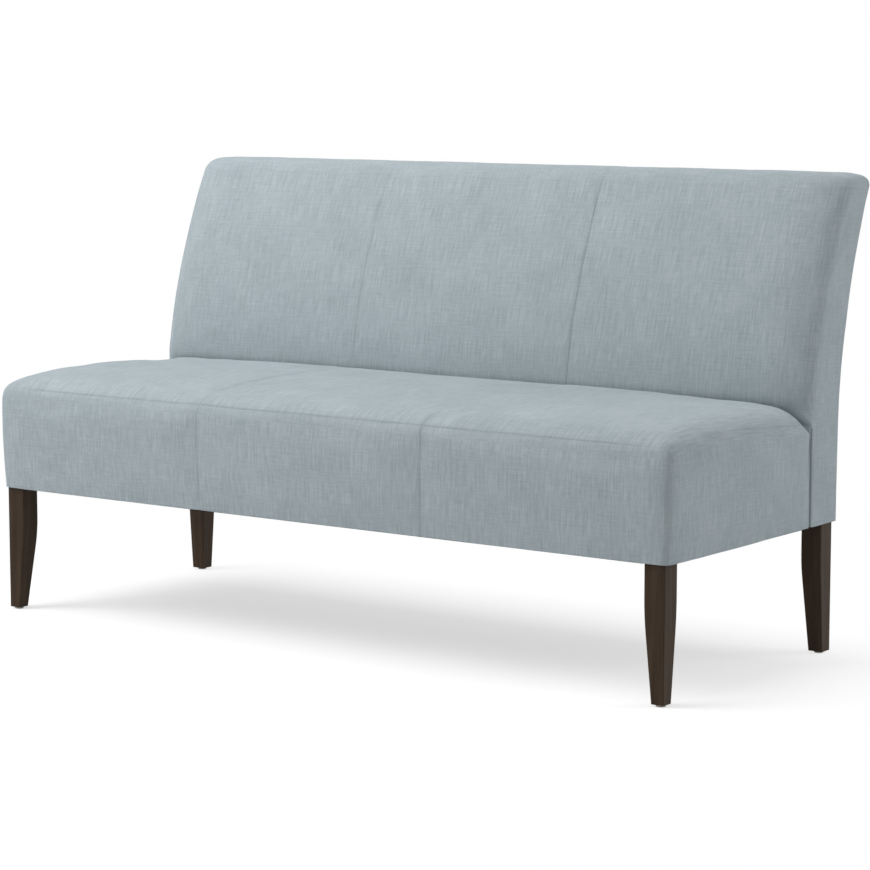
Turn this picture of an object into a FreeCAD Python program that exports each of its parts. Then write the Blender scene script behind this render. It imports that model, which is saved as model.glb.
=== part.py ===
import FreeCAD, Part
import math
import os
import re

import Sketcher
from FreeCAD import Placement, Rotation, Vector

# Upholstered banquette: a dowelled wood frame, webbing, foam, wadding and a fabric cover in panels.
# Millimetres. The origin is on the floor under the middle of the part. X runs along the seat, Y runs
# from the front to the rear and Z runs up.

SIZES = [
    ("overall_width", 1578, "over the side covers"),
    ("overall_depth", 724, "front face to the rear edge of the top"),
    ("overall_height", 902, "floor to the top of the back"),
    ("leg_height", 250, "floor to the underside of the upholstery"),
    ("base_depth", 616, "front face to rear face at the underside"),
    ("seat_depth", 481, "front face to the inside back at the seat"),
    ("side_seam_depth", 511, "front face to the seam between boxing and back side"),
    ("seam_height", 450, "floor to the seam round the top of the seat"),
    ("crown_rise", 33, "rise of the seat above its seam"),
    ("tuck_height", 440, "where the inside back tucks away behind the seat"),
    ("bend_height", 375, "where the rear face starts to curve"),
    ("back_thickness_top", 116, "thickness of the back under its top roll"),
    ("corner_round", 50, "radius of the back's front corners"),
    ("tuck_round", 3, "radius of the back's front corners below the seat"),
    ("top_round", 28, "radius of the roll round the top of the back"),
    ("panel_crown", 5, "forward swell of an inside back panel between seams"),
    ("panel_crown_length", 75, "height over which that swell grows"),
    ("seat_end_round", 110, "length of the roll off at each end of the seat"),
    ("seat_shoulder", 75, "depth of the roll at the front edge of the seat"),
    ("seat_corner_round", 12, "radius of the seat's front corners"),
    ("front_bulge", 4, "swell of the front boxing"),
    ("seam_pull", 2, "draws the front boxing in at a seam"),
    ("channel_depth", 4, "depth of the channel along a seat seam"),
    ("channel_width", 20, "width of the channel along a seat seam"),
    ("cover_thickness", 1.6, "fabric and its backing"),
    ("wadding_thickness", 4.7, "fibre wrap under the cover"),
    ("layer_gap", 0.3, "between one soft layer and the next"),
    ("leg_inset", 7, "cover face to the frame and leg faces"),
    ("leg_square", 42, "section of a leg above its taper"),
    ("front_foot", 26, "section of a front leg at the floor"),
    ("rear_foot", 30, "section of a rear leg at the floor"),
    ("leg_ease", 1.5, "chamfer along the edges of a leg"),
    ("taper_drop", 60, "underside of the upholstery to the start of the taper"),
    ("taper_round", 600, "radius of the curve into the taper"),
    ("glide_thickness", 4, "plate of a nail-on glide"),
    ("glide_radius", 9.5, "plate of a nail-on glide"),
    ("glide_ease", 1, "draft on the edge of a glide"),
    ("glide_nail_radius", 1.4, "nail of a glide"),
    ("glide_nail_length", 16, "nail of a glide"),
    ("rail_thickness", 28, "seat rails and stretchers"),
    ("rail_height", 110, "seat rails"),
    ("stretcher_height", 60, "seat stretchers"),
    ("stretcher_drop", 30, "top of the rails to the top of a stretcher"),
    ("tenon_thickness", 12, "stretcher tenons"),
    ("tenon_height", 36, "stretcher tenons"),
    ("tenon_length", 18, "stretcher tenons"),
    ("joint_clearance", 0.2, "round a dowel, tenon, screw or nail"),
    ("joint_end_gap", 0.5, "at the end of a dowel, tenon, screw or nail"),
    ("block_length", 95, "arms of a corner block along the rails"),
    ("block_height", 60, "corner blocks"),
    ("block_lift", 14, "bottom of the rails to the bottom of a block"),
    ("screw_setback", 70, "leg to a screw, along the rail"),
    ("screw_seat", 17, "rail to the underside of a screw head"),
    ("screw_rise", 12, "screws above and below the middle of a block"),
    ("screw_length", 38, "shank of a screw"),
    ("screw_radius", 2.1, "shank of a screw"),
    ("screw_head_radius", 4.2, "head of a screw"),
    ("screw_head_height", 3, "head of a screw"),
    ("counterbore_clearance", 0.8, "round a screw head"),
    ("rod_sides", 8, "flats round a grooved dowel, screw or nail"),
    ("dowel_radius", 5, "dowels"),
    ("dowel_length", 50, "dowels"),
    ("dowel_spread", 28, "seat rail dowels from the middle of the rail"),
    ("dowel_stagger", 7, "lifts the side rail dowels clear of the others"),
    ("back_dowel_spread", 17, "back rail dowels from the middle of the rail"),
    ("back_frame_depth", 34, "posts, rails and uprights of the back"),
    ("back_rail_height", 60, "back rails"),
    ("upright_width", 40, "back uprights"),
    ("top_rail_drop", 36, "top of the back to the top of the back frame"),
    ("webbing_width", 50, "straps"),
    ("webbing_thickness", 2, "straps"),
    ("webbing_margin", 6, "end of a strap from the edge of the frame"),
    ("webbing_slack", 8, "beyond a strap before the next one rises or falls"),
    ("crosswise_straps", 12, "seat straps from front to rear"),
    ("lengthwise_straps", 3, "seat straps from end to end"),
    ("back_straps", 4, "back straps"),
    ("deck_thickness", 3, "deck cloth"),
    ("board_thickness", 4, "outside back board"),
    ("tack_strip_height", 14, "tack strip"),
    ("tack_strip_thickness", 1.5, "tack strip"),
    ("dust_cover_thickness", 1, "dust cover"),
]
NAMES = re.compile(r"\b(" + "|".join(name for name, _, _ in SIZES) + r")\b")

# Positions that follow from the sizes, written as expressions.
HALF_X = "(overall_width / 2)"
FRAME_X = "(overall_width / 2 - leg_inset)"
RAIL_IN_X = "(overall_width / 2 - leg_inset - rail_thickness)"
LEG_IN_X = "(overall_width / 2 - leg_inset - leg_square)"
SEAM_X = "(overall_width / 6)"
FRONT_Y = "(-overall_depth / 2)"
BASE_REAR_Y = "(base_depth - overall_depth / 2)"
SIDE_SEAM_Y = "(side_seam_depth - overall_depth / 2)"
INSIDE_BACK_Y = "(seat_depth - overall_depth / 2)"
FRAME_FRONT_Y = "(front_bulge + leg_inset - overall_depth / 2)"
FRONT_RAIL_IN_Y = f"({FRAME_FRONT_Y} + rail_thickness)"
FRONT_LEG_IN_Y = f"({FRAME_FRONT_Y} + leg_square)"
FRAME_REAR_Y = f"({BASE_REAR_Y} - leg_inset)"
REAR_RAIL_IN_Y = f"({FRAME_REAR_Y} - rail_thickness)"
REAR_LEG_IN_Y = f"({FRAME_REAR_Y} - leg_square)"
TAPER_Z = "(leg_height - taper_drop)"
RAIL_Z = "(leg_height + dust_cover_thickness + layer_gap)"
RAIL_TOP_Z = f"({RAIL_Z} + rail_height)"
RAIL_MID_Z = f"({RAIL_Z} + rail_height / 2)"
DECK_Z = f"({RAIL_TOP_Z} + 2 * webbing_thickness + 2 * layer_gap)"
DECK_TOP_Z = f"({DECK_Z} + deck_thickness)"
ROLL_Z = "(overall_height - top_round)"
FRAME_TOP_Z = "(overall_height - top_rail_drop)"
TOP_RAIL_Z = f"({FRAME_TOP_Z} - back_rail_height)"
LOW_RAIL_Z = "(tuck_height + leg_inset)"
LOW_RAIL_TOP_Z = f"({LOW_RAIL_Z} + back_rail_height)"
CURVE_RISE = f"({ROLL_Z} - bend_height)"
CURVE_RUN = "(overall_depth - base_depth)"
CURVE_RADIUS = f"(({CURVE_RISE} ^ 2 + {CURVE_RUN} ^ 2) / (2 * {CURVE_RUN}))"
CURVE_Y = f"({BASE_REAR_Y} + {CURVE_RADIUS})"
FRAME_REAR_RADIUS = f"({CURVE_RADIUS} + leg_inset)"
FRAME_FRONT_RADIUS = f"({FRAME_REAR_RADIUS} + back_frame_depth)"

SIDES = (("left", -1), ("right", 1))
ENDS = (("front", 1), ("rear", -1))
TURNS = {
    "+X": Rotation(Vector(0, 1, 0), 90),
    "-X": Rotation(Vector(0, 1, 0), -90),
    "+Y": Rotation(Vector(1, 0, 0), -90),
    "-Y": Rotation(Vector(1, 0, 0), 90),
    "+Z": Rotation(),
}

doc = FreeCAD.newDocument("banquette")
sheet = doc.addObject("Spreadsheet::Sheet", "Sizes")
for row, (name, amount, meaning) in enumerate(SIZES, 1):
    sheet.set(f"A{row}", name)
    sheet.set(f"B{row}", str(amount))
    sheet.setAlias(f"B{row}", name)
    sheet.set(f"C{row}", meaning)
doc.recompute()

nodes = []


def cells(term):
    """The expression with every size taken from the sheet."""
    return NAMES.sub(r"Sizes.\1", str(term))


def number(term):
    """What the expression comes to, in millimetres."""
    return float(sheet.evalExpression(cells(term)))


def bind(thing, **terms):
    for name, term in terms.items():
        thing.setExpression(name, cells(term))


def put(thing, x, y, z):
    thing.setExpression("Placement.Base.x", cells(x))
    thing.setExpression("Placement.Base.y", cells(y))
    thing.setExpression("Placement.Base.z", cells(z))


def node(thing, label):
    """Names a finished sub-part."""
    thing.Label = label
    nodes.append(thing)
    return thing


def box(label, corner, extent):
    solid = doc.addObject("Part::Box", label)
    bind(solid, Length=extent[0], Width=extent[1], Height=extent[2])
    put(solid, *corner)
    return solid


def rod(label, radius, length, start, axis):
    """A many-sided rod; rods and the holes for them have their flats in line."""
    solid = doc.addObject("Part::Prism", label)
    solid.Placement = Placement(Vector(), TURNS[axis])
    bind(solid, Polygon="rod_sides", Circumradius=radius, Height=length)
    put(solid, *start)
    return solid


def group(label, members):
    together = doc.addObject("Part::Compound", label)
    together.Links = members
    return together


def fuse(label, members):
    joined = doc.addObject("Part::MultiFuse", label)
    joined.Shapes = members
    return joined


def cut(label, blank, tools):
    """The blank with its holes and mortises, as a finished sub-part."""
    blank.Label = f"{label}_blank"
    result = doc.addObject("Part::Cut", label)
    result.Base = blank
    result.Tool = group(f"{label}_holes", tools)
    return node(result, label)


def new_sketch(body, label, role, offset):
    plane = next(item for item in body.Origin.OriginFeatures if item.Role == role)
    sketch = body.newObject("Sketcher::SketchObject", label)
    sketch.AttachmentSupport = [(plane, "")]
    sketch.MapMode = "FlatFace"
    sketch.setExpression("AttachmentOffset.Base.z", cells(offset))
    return sketch


def hold(sketch, kind, element, point, term):
    """Fixes one coordinate of a sketch point to an expression."""
    held = Sketcher.Constraint(kind, -1, 1, element, point, number(term))
    index = sketch.addConstraint(held)
    sketch.setExpression(f"Constraints[{index}]", cells(term))


def outline(sketch, corners):
    """A closed polygon through the corners."""
    spots = [Vector(number(a), number(b), 0) for a, b in corners]
    count = len(spots)
    for i in range(count):
        sketch.addGeometry(Part.LineSegment(spots[i], spots[(i + 1) % count]))
    for i in range(count):
        sketch.addConstraint(Sketcher.Constraint("Coincident", i, 2, (i + 1) % count, 1))
    for i, (a, b) in enumerate(corners):
        hold(sketch, "DistanceX", i, 1, a)
        hold(sketch, "DistanceY", i, 1, b)


def band(sketch, rear_radius, front_radius, low, high):
    """A strip between two arcs about the centre of the back's curve, from one height to another."""
    centre = Vector(number(CURVE_Y), number("bend_height"), 0)
    for radius in (rear_radius, front_radius):
        size = number(radius)
        top = math.pi - math.asin((number(high) - centre.y) / size)
        foot = math.pi - math.asin((number(low) - centre.y) / size)
        circle = Part.Circle(centre, Vector(0, 0, 1), size)
        arc = sketch.addGeometry(Part.ArcOfCircle(circle, top, foot))
        hold(sketch, "DistanceX", arc, 3, CURVE_Y)
        hold(sketch, "DistanceY", arc, 3, "bend_height")
        index = sketch.addConstraint(Sketcher.Constraint("Radius", arc, size))
        sketch.setExpression(f"Constraints[{index}]", cells(radius))
        hold(sketch, "DistanceY", arc, 1, high)
        hold(sketch, "DistanceY", arc, 2, low)
    for point in (1, 2):
        rear = sketch.getPoint(0, point)
        front = sketch.getPoint(1, point)
        line = sketch.addGeometry(Part.LineSegment(rear, front))
        sketch.addConstraint(Sketcher.Constraint("Coincident", line, 1, 0, point))
        sketch.addConstraint(Sketcher.Constraint("Coincident", line, 2, 1, point))


def new_body(label):
    return doc.addObject("PartDesign::Body", label)


def pad(body, sketch, length):
    feature = body.newObject("PartDesign::Pad", f"{sketch.Label}_pad")
    feature.Profile = sketch
    bind(feature, Length=length)
    body.Tip = feature
    return feature


def curve_y(radius, height):
    """How far back an arc of the back's curve lies at a height."""
    return f"({CURVE_Y} - sqrt({radius} ^ 2 - ({height} - bend_height) ^ 2))"


# Dowels. Each crosses the face between two members and has a hole in both.
dowels = []


def dowel(axis, x, y, z):
    """One dowel about a point of the joint face; gives back the hole for it."""
    shift = {"+X": (1, 0, 0), "+Y": (0, 1, 0), "+Z": (0, 0, 1)}[axis]
    middle = (x, y, z)
    start = [f"{at} - {by} * dowel_length / 2" for at, by in zip(middle, shift)]
    deep = [f"{at} - {by} * joint_end_gap" for at, by in zip(start, shift)]
    dowels.append(rod(f"dowel_{len(dowels) + 1}", "dowel_radius", "dowel_length", start, axis))
    return rod(
        f"dowel_hole_{len(dowels)}",
        "dowel_radius + joint_clearance",
        "dowel_length + 2 * joint_end_gap",
        deep,
        axis,
    )


holes = {}


def drill(tool, *labels):
    for label in labels:
        holes.setdefault(label, []).append(tool)


for side, sign in SIDES:
    for end, turn in ENDS:
        rail_y = f"{FRAME_FRONT_Y} + rail_thickness / 2"
        joint_y = FRONT_LEG_IN_Y
        if end == "rear":
            rail_y = f"{FRAME_REAR_Y} - rail_thickness / 2"
            joint_y = REAR_LEG_IN_Y
        for up in (-1, 1):
            long_z = f"{RAIL_MID_Z} + {up} * dowel_spread - dowel_stagger"
            side_z = f"{RAIL_MID_Z} + {up} * dowel_spread + dowel_stagger"
            tool = dowel("+X", f"{sign} * {LEG_IN_X}", rail_y, long_z)
            drill(tool, f"{end}_seat_rail", f"{end}_{side}_leg")
            tool = dowel("+Y", f"{sign} * ({FRAME_X} - rail_thickness / 2)", joint_y, side_z)
            drill(tool, f"{side}_seat_rail", f"{end}_{side}_leg")
    for rail, low in (("back_top_rail", TOP_RAIL_Z), ("back_lower_rail", LOW_RAIL_Z)):
        for up in (-1, 1):
            height = f"({low} + back_rail_height / 2 + {up} * back_dowel_spread)"
            middle = curve_y(f"({FRAME_REAR_RADIUS} + back_frame_depth / 2)", height)
            tool = dowel("+X", f"{sign} * {LEG_IN_X}", middle, height)
            drill(tool, rail, f"rear_{side}_leg")
    for rail, height in (("back_top_rail", TOP_RAIL_Z), ("back_lower_rail", LOW_RAIL_TOP_Z)):
        middle = curve_y(f"({FRAME_REAR_RADIUS} + back_frame_depth / 2)", height)
        tool = dowel("+Z", f"{sign} * {SEAM_X}", middle, height)
        drill(tool, rail, f"{side}_back_upright")
node(group("frame_dowels", dowels), "frame_dowels")

# Stretchers under the two seams, tenoned into the front and rear rails.
stretcher_z = f"({RAIL_TOP_Z} - stretcher_drop - stretcher_height)"
tenon_z = f"({stretcher_z} + (stretcher_height - tenon_height) / 2)"
for side, sign in SIDES:
    label = f"{side}_seat_stretcher"
    middle_x = f"{sign} * {SEAM_X}"
    bar = box(
        f"{label}_bar",
        (f"{middle_x} - rail_thickness / 2", FRONT_RAIL_IN_Y, stretcher_z),
        ("rail_thickness", f"{REAR_RAIL_IN_Y} - {FRONT_RAIL_IN_Y}", "stretcher_height"),
    )
    tenon = box(
        f"{label}_tenons",
        (f"{middle_x} - tenon_thickness / 2", f"{FRONT_RAIL_IN_Y} - tenon_length", tenon_z),
        (
            "tenon_thickness",
            f"{REAR_RAIL_IN_Y} - {FRONT_RAIL_IN_Y} + 2 * tenon_length",
            "tenon_height",
        ),
    )
    node(fuse(label, [bar, tenon]), label)
    mortise = box(
        f"{label}_mortises",
        (
            f"{middle_x} - tenon_thickness / 2 - joint_clearance",
            f"{FRONT_RAIL_IN_Y} - tenon_length - joint_end_gap",
            f"{tenon_z} - joint_clearance",
        ),
        (
            "tenon_thickness + 2 * joint_clearance",
            f"{REAR_RAIL_IN_Y} - {FRONT_RAIL_IN_Y} + 2 * (tenon_length + joint_end_gap)",
            "tenon_height + 2 * joint_clearance",
        ),
    )
    drill(mortise, "front_seat_rail", "rear_seat_rail")

# Corner blocks, notched round the legs, with one screw into each rail.
screws = []


def screw(label, rail, x, y, z, inward, outward, step):
    """A screw whose head seats in the block; step is the way from the rail face into the block."""
    seat = [f"{at} + {by} * screw_seat" for at, by in zip((x, y, z), step)]
    tip_gap = "screw_length + joint_end_gap"
    shank = rod(f"{label}_shank", "screw_radius", "screw_length", seat, inward)
    head = rod(f"{label}_head", "screw_head_radius", "screw_head_height", seat, outward)
    screws.append(fuse(label, [shank, head]))
    bore = rod(f"{label}_bore", "screw_radius + joint_clearance", tip_gap, seat, inward)
    wide = "screw_head_radius + counterbore_clearance"
    sink = rod(f"{label}_sink", wide, "block_length", seat, outward)
    drill(bore, rail)
    return [bore, sink]


for side, sign in SIDES:
    for end, turn in ENDS:
        label = f"{end}_{side}_corner_block"
        rail_y = FRONT_RAIL_IN_Y if end == "front" else REAR_RAIL_IN_Y
        leg_y = FRONT_LEG_IN_Y if end == "front" else REAR_LEG_IN_Y
        body = new_body(f"{label}_body")
        plan = new_sketch(body, f"{label}_plan", "XY_Plane", f"{RAIL_Z} + block_lift")
        outline(
            plan,
            [
                (f"{sign} * ({LEG_IN_X} - block_length)", rail_y),
                (f"{sign} * {LEG_IN_X}", rail_y),
                (f"{sign} * {LEG_IN_X}", leg_y),
                (f"{sign} * {RAIL_IN_X}", leg_y),
                (f"{sign} * {RAIL_IN_X}", f"{leg_y} + {turn} * block_length"),
            ],
        )
        pad(body, plan, "block_height")
        middle_z = f"{RAIL_Z} + block_lift + block_height / 2"
        tools = screw(
            f"{label}_long_screw",
            f"{end}_seat_rail",
            f"{sign} * ({LEG_IN_X} - screw_setback)",
            rail_y,
            f"{middle_z} + screw_rise",
            "-Y" if end == "front" else "+Y",
            "+Y" if end == "front" else "-Y",
            (0, turn, 0),
        )
        tools += screw(
            f"{label}_side_screw",
            f"{side}_seat_rail",
            f"{sign} * {RAIL_IN_X}",
            f"{leg_y} + {turn} * screw_setback",
            f"{middle_z} - screw_rise",
            "+X" if side == "right" else "-X",
            "-X" if side == "right" else "+X",
            (-sign, 0, 0),
        )
        cut(label, body, tools)
node(group("corner_block_screws", screws), "corner_block_screws")

# Legs. The two outer faces stay upright and the two inner faces are sawn to a taper.
glides = []


def taper_outline(sketch, inner, way, foot_width):
    """Waste of one inner face: an arc that leaves the upright face, then a straight run to the foot."""
    clear = f"{inner} - {way} * leg_inset"
    foot = f"{inner} + {way} * (leg_square - {foot_width})"
    radius = number("taper_round")
    centre = Vector(number(f"{inner} + {way} * taper_round"), number(TAPER_Z), 0)
    toe = Vector(number(foot), number("glide_thickness"), 0)
    toward = toe - centre
    sweep = math.acos(radius / toward.Length)
    heading = math.atan2(toward.y, toward.x) - way * sweep
    touch = centre + Vector(radius * math.cos(heading), radius * math.sin(heading), 0)
    start = centre - Vector(way * radius, 0, 0)
    circle = Part.Circle(centre, Vector(0, 0, 1), radius)
    ends = [circle.parameter(start), circle.parameter(touch)][::way]
    arc = sketch.addGeometry(Part.ArcOfCircle(circle, *ends))
    arc_start, arc_touch = (1, 2)[::way]
    run = sketch.addGeometry(Part.LineSegment(touch, toe))
    hold(sketch, "DistanceX", arc, 3, f"{inner} + {way} * taper_round")
    hold(sketch, "DistanceY", arc, 3, TAPER_Z)
    index = sketch.addConstraint(Sketcher.Constraint("Radius", arc, radius))
    sketch.setExpression(f"Constraints[{index}]", cells("taper_round"))
    hold(sketch, "DistanceY", arc, arc_start, TAPER_Z)
    sketch.addConstraint(Sketcher.Constraint("Tangent", arc, arc_touch, run, 1))
    hold(sketch, "DistanceX", run, 2, foot)
    hold(sketch, "DistanceY", run, 2, "glide_thickness")
    low = Vector(number(clear), toe.y, 0)
    high = Vector(number(clear), centre.y, 0)
    joined = (run, 2)
    for first, second in ((toe, low), (low, high), (high, start)):
        side_line = sketch.addGeometry(Part.LineSegment(first, second))
        sketch.addConstraint(Sketcher.Constraint("Coincident", *joined, side_line, 1))
        joined = (side_line, 2)
    sketch.addConstraint(Sketcher.Constraint("Coincident", *joined, arc, arc_start))
    hold(sketch, "DistanceX", side_line, 1, clear)
    hold(sketch, "DistanceY", side_line, 1, TAPER_Z)
    hold(sketch, "DistanceX", side_line - 1, 1, clear)
    hold(sketch, "DistanceY", side_line - 1, 1, "glide_thickness")


def saw_taper(body, sketch):
    """Takes the waste off the leg."""
    whole = body.Tip.Shape.Volume
    waste = body.newObject("PartDesign::Pocket", f"{sketch.Label}_waste")
    waste.Profile = sketch
    bind(waste, Length="leg_square")
    body.Tip = waste
    doc.recompute()
    if waste.Shape.Volume > 0.99 * whole:
        raise RuntimeError(f"{sketch.Label} takes no waste off")


def ease_edges(body):
    """Chamfers the edges that run along the leg."""
    sawn = body.Tip
    edges = enumerate(sawn.Shape.Edges, 1)
    long_edges = [f"Edge{i}" for i, edge in edges if edge.BoundBox.ZLength > number("leg_ease")]
    eased = body.newObject("PartDesign::Chamfer", f"{body.Label}_eased")
    eased.Base = (sawn, long_edges)
    bind(eased, Size="leg_ease")
    body.Tip = eased


for side, sign in SIDES:
    for end, turn in ENDS:
        label = f"{end}_{side}_leg"
        outer_y = FRAME_FRONT_Y if end == "front" else FRAME_REAR_Y
        inner_y = FRONT_LEG_IN_Y if end == "front" else REAR_LEG_IN_Y
        foot_width = "front_foot" if end == "front" else "rear_foot"
        body = new_body(f"{label}_body")
        plan = new_sketch(body, f"{label}_plan", "XY_Plane", "glide_thickness")
        outline(
            plan,
            [
                (f"{sign} * {FRAME_X}", outer_y),
                (f"{sign} * {LEG_IN_X}", outer_y),
                (f"{sign} * {LEG_IN_X}", inner_y),
                (f"{sign} * {FRAME_X}", inner_y),
            ],
        )
        pad(body, plan, f"{RAIL_TOP_Z} - glide_thickness")
        doc.recompute()
        low_y = outer_y if end == "front" else inner_y
        taper = new_sketch(body, f"{label}_side_taper", "XZ_Plane", f"-{low_y}")
        taper_outline(taper, f"{sign} * {LEG_IN_X}", sign, foot_width)
        saw_taper(body, taper)
        high_x = FRAME_X if sign > 0 else f"-{LEG_IN_X}"
        taper = new_sketch(body, f"{label}_end_taper", "YZ_Plane", high_x)
        taper_outline(taper, inner_y, -turn, foot_width)
        saw_taper(body, taper)
        ease_edges(body)
        if end == "rear":
            start = f"{LEG_IN_X}" if sign > 0 else f"-{FRAME_X}"
            knee = new_sketch(body, f"{label}_knee", "YZ_Plane", start)
            outline(
                knee,
                [
                    (FRAME_REAR_Y, RAIL_TOP_Z),
                    (FRAME_REAR_Y, "bend_height"),
                    (f"{FRAME_REAR_Y} - back_frame_depth", "bend_height"),
                    (REAR_LEG_IN_Y, RAIL_TOP_Z),
                ],
            )
            pad(body, knee, "leg_square")
            post = new_sketch(body, f"{label}_post", "YZ_Plane", start)
            band(post, FRAME_REAR_RADIUS, FRAME_FRONT_RADIUS, "bend_height", FRAME_TOP_Z)
            pad(body, post, "leg_square")
        foot_x = f"{sign} * ({FRAME_X} - {foot_width} / 2)"
        foot_y = f"{outer_y} + {turn} * {foot_width} / 2"
        plate = doc.addObject("Part::Cone", f"{label}_glide_plate")
        bind(plate, Radius1="glide_radius - glide_ease", Radius2="glide_radius")
        bind(plate, Height="glide_thickness")
        put(plate, foot_x, foot_y, 0)
        nail_start = (foot_x, foot_y, "glide_thickness / 2")
        nail_length = "glide_nail_length + glide_thickness / 2"
        nail = rod(f"{label}_glide_nail", "glide_nail_radius", nail_length, nail_start, "+Z")
        glides.append(fuse(f"{label}_glide", [plate, nail]))
        wide = "glide_nail_radius + joint_clearance"
        deep = f"{nail_length} + joint_end_gap"
        drill(rod(f"{label}_nail_hole", wide, deep, nail_start, "+Z"), label)
        cut(label, body, holes[label])
node(group("leg_glides", glides), "leg_glides")

# Seat rails between the legs, flush with their outer faces.
for end, turn in ENDS:
    label = f"{end}_seat_rail"
    face_y = FRAME_FRONT_Y if end == "front" else REAR_RAIL_IN_Y
    bar = box(
        f"{label}_bar",
        (f"-{LEG_IN_X}", face_y, RAIL_Z),
        (f"2 * {LEG_IN_X}", "rail_thickness", "rail_height"),
    )
    cut(label, bar, holes[label])
for side, sign in SIDES:
    label = f"{side}_seat_rail"
    bar = box(
        f"{label}_bar",
        (RAIL_IN_X if sign > 0 else f"-{FRAME_X}", FRONT_LEG_IN_Y, RAIL_Z),
        ("rail_thickness", f"{REAR_LEG_IN_Y} - {FRONT_LEG_IN_Y}", "rail_height"),
    )
    cut(label, bar, holes[label])

# Back rails and uprights, sawn to the curve of the posts.
for label, low in (("back_top_rail", TOP_RAIL_Z), ("back_lower_rail", LOW_RAIL_Z)):
    body = new_body(f"{label}_body")
    profile = new_sketch(body, f"{label}_profile", "YZ_Plane", f"-{LEG_IN_X}")
    band(profile, FRAME_REAR_RADIUS, FRAME_FRONT_RADIUS, low, f"{low} + back_rail_height")
    pad(body, profile, f"2 * {LEG_IN_X}")
    cut(label, body, holes[label])
for side, sign in SIDES:
    label = f"{side}_back_upright"
    body = new_body(f"{label}_body")
    start = f"{sign} * {SEAM_X} - upright_width / 2"
    profile = new_sketch(body, f"{label}_profile", "YZ_Plane", start)
    band(profile, FRAME_REAR_RADIUS, FRAME_FRONT_RADIUS, LOW_RAIL_TOP_Z, TOP_RAIL_Z)
    pad(body, profile, "upright_width")
    cut(label, body, holes[label])

# Seat webbing. The straps from front to rear lie on the rails.
straps = []
strap_span = f"(2 * {RAIL_IN_X} / crosswise_straps)"
for i in range(int(number("crosswise_straps"))):
    straps.append(
        box(
            f"crosswise_strap_{i + 1}",
            (
                f"{i + 0.5} * {strap_span} - {RAIL_IN_X} - webbing_width / 2",
                f"{FRAME_FRONT_Y} + webbing_margin",
                RAIL_TOP_Z,
            ),
            (
                "webbing_width",
                f"{FRAME_REAR_Y} - {FRAME_FRONT_Y} - 2 * webbing_margin",
                "webbing_thickness",
            ),
        )
    )
node(group("seat_webbing_crosswise", straps), "seat_webbing_crosswise")


def woven_strap(row):
    """A strap from end to end that goes over and under the straps it crosses, in turn."""
    thick = number("webbing_thickness")
    lift = thick + number("layer_gap")
    rest_z = number(RAIL_TOP_Z)
    end_x = number(f"{FRAME_X} - webbing_margin")
    reach = number("webbing_width / 2 + webbing_slack")
    path = [(-end_x, rest_z), (-number(RAIL_IN_X), rest_z)]
    for i in range(int(number("crosswise_straps"))):
        middle = number(f"{i + 0.5} * {strap_span} - {RAIL_IN_X}")
        level = rest_z + (lift if (i + row) % 2 == 0 else -lift)
        path.append((middle - reach, level))
        path.append((middle + reach, level))
    path += [(number(RAIL_IN_X), rest_z), (end_x, rest_z)]
    lane = number(f"({REAR_RAIL_IN_Y} - {FRONT_RAIL_IN_Y}) / lengthwise_straps")
    near = number(FRONT_RAIL_IN_Y) + (row + 0.5) * lane - number("webbing_width / 2")
    loop = [Vector(x, near, z) for x, z in path]
    loop += [Vector(x, near, z + thick) for x, z in reversed(path)]
    face = Part.Face(Part.makePolygon(loop + loop[:1]))
    return face.extrude(Vector(0, number("webbing_width"), 0))


lengthwise = doc.addObject("Part::Feature", "seat_webbing_lengthwise")
rows = range(int(number("lengthwise_straps")))
lengthwise.Shape = Part.makeCompound([woven_strap(row) for row in rows])
node(lengthwise, "seat_webbing_lengthwise")

# Back webbing, across the front of the posts and uprights.
straps = []
strap_pitch = f"(({TOP_RAIL_Z} - {LOW_RAIL_TOP_Z}) / back_straps)"
for i in range(int(number("back_straps"))):
    body = new_body(f"back_strap_{i + 1}")
    profile = new_sketch(body, f"back_strap_{i + 1}_profile", "YZ_Plane", f"webbing_margin - {FRAME_X}")
    low = f"({LOW_RAIL_TOP_Z} + {i + 0.5} * {strap_pitch} - webbing_width / 2)"
    face = FRAME_FRONT_RADIUS
    band(profile, face, f"({face} + webbing_thickness)", low, f"{low} + webbing_width")
    pad(body, profile, f"2 * ({FRAME_X} - webbing_margin)")
    straps.append(body)
node(group("back_webbing", straps), "back_webbing")

# Deck cloth over the webbing and dust cover under the frame.
deck = box(
    "seat_deck_cloth",
    (f"webbing_margin - {LEG_IN_X}", f"{FRAME_FRONT_Y} + webbing_margin", DECK_Z),
    (
        f"2 * ({LEG_IN_X} - webbing_margin)",
        f"{FRAME_REAR_Y} - {FRAME_FRONT_Y} - 2 * webbing_margin",
        "deck_thickness",
    ),
)
node(deck, "seat_deck_cloth")
inside = "(cover_thickness + layer_gap)"
sheet_x = f"({HALF_X} - {inside})"
sheet_y = f"({FRONT_Y} + {inside} + front_bulge + seam_pull)"
cloth = box(
    "dust_cover_cloth",
    (f"-{sheet_x}", sheet_y, "leg_height"),
    (f"2 * {sheet_x}", f"{BASE_REAR_Y} - {inside} - {sheet_y}", "dust_cover_thickness"),
)
notches = []
for side, sign in SIDES:
    for end, turn in ENDS:
        notch_y = FRONT_Y if end == "front" else f"{REAR_LEG_IN_Y} - layer_gap"
        notches.append(
            box(
                f"{end}_{side}_notch",
                (f"{LEG_IN_X} - layer_gap" if sign > 0 else f"-{HALF_X}", notch_y, "leg_height"),
                (
                    "leg_inset + leg_square + layer_gap",
                    "front_bulge + leg_inset + leg_square + layer_gap",
                    "dust_cover_thickness",
                ),
            )
        )
cut("dust_cover", cloth, notches)

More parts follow.
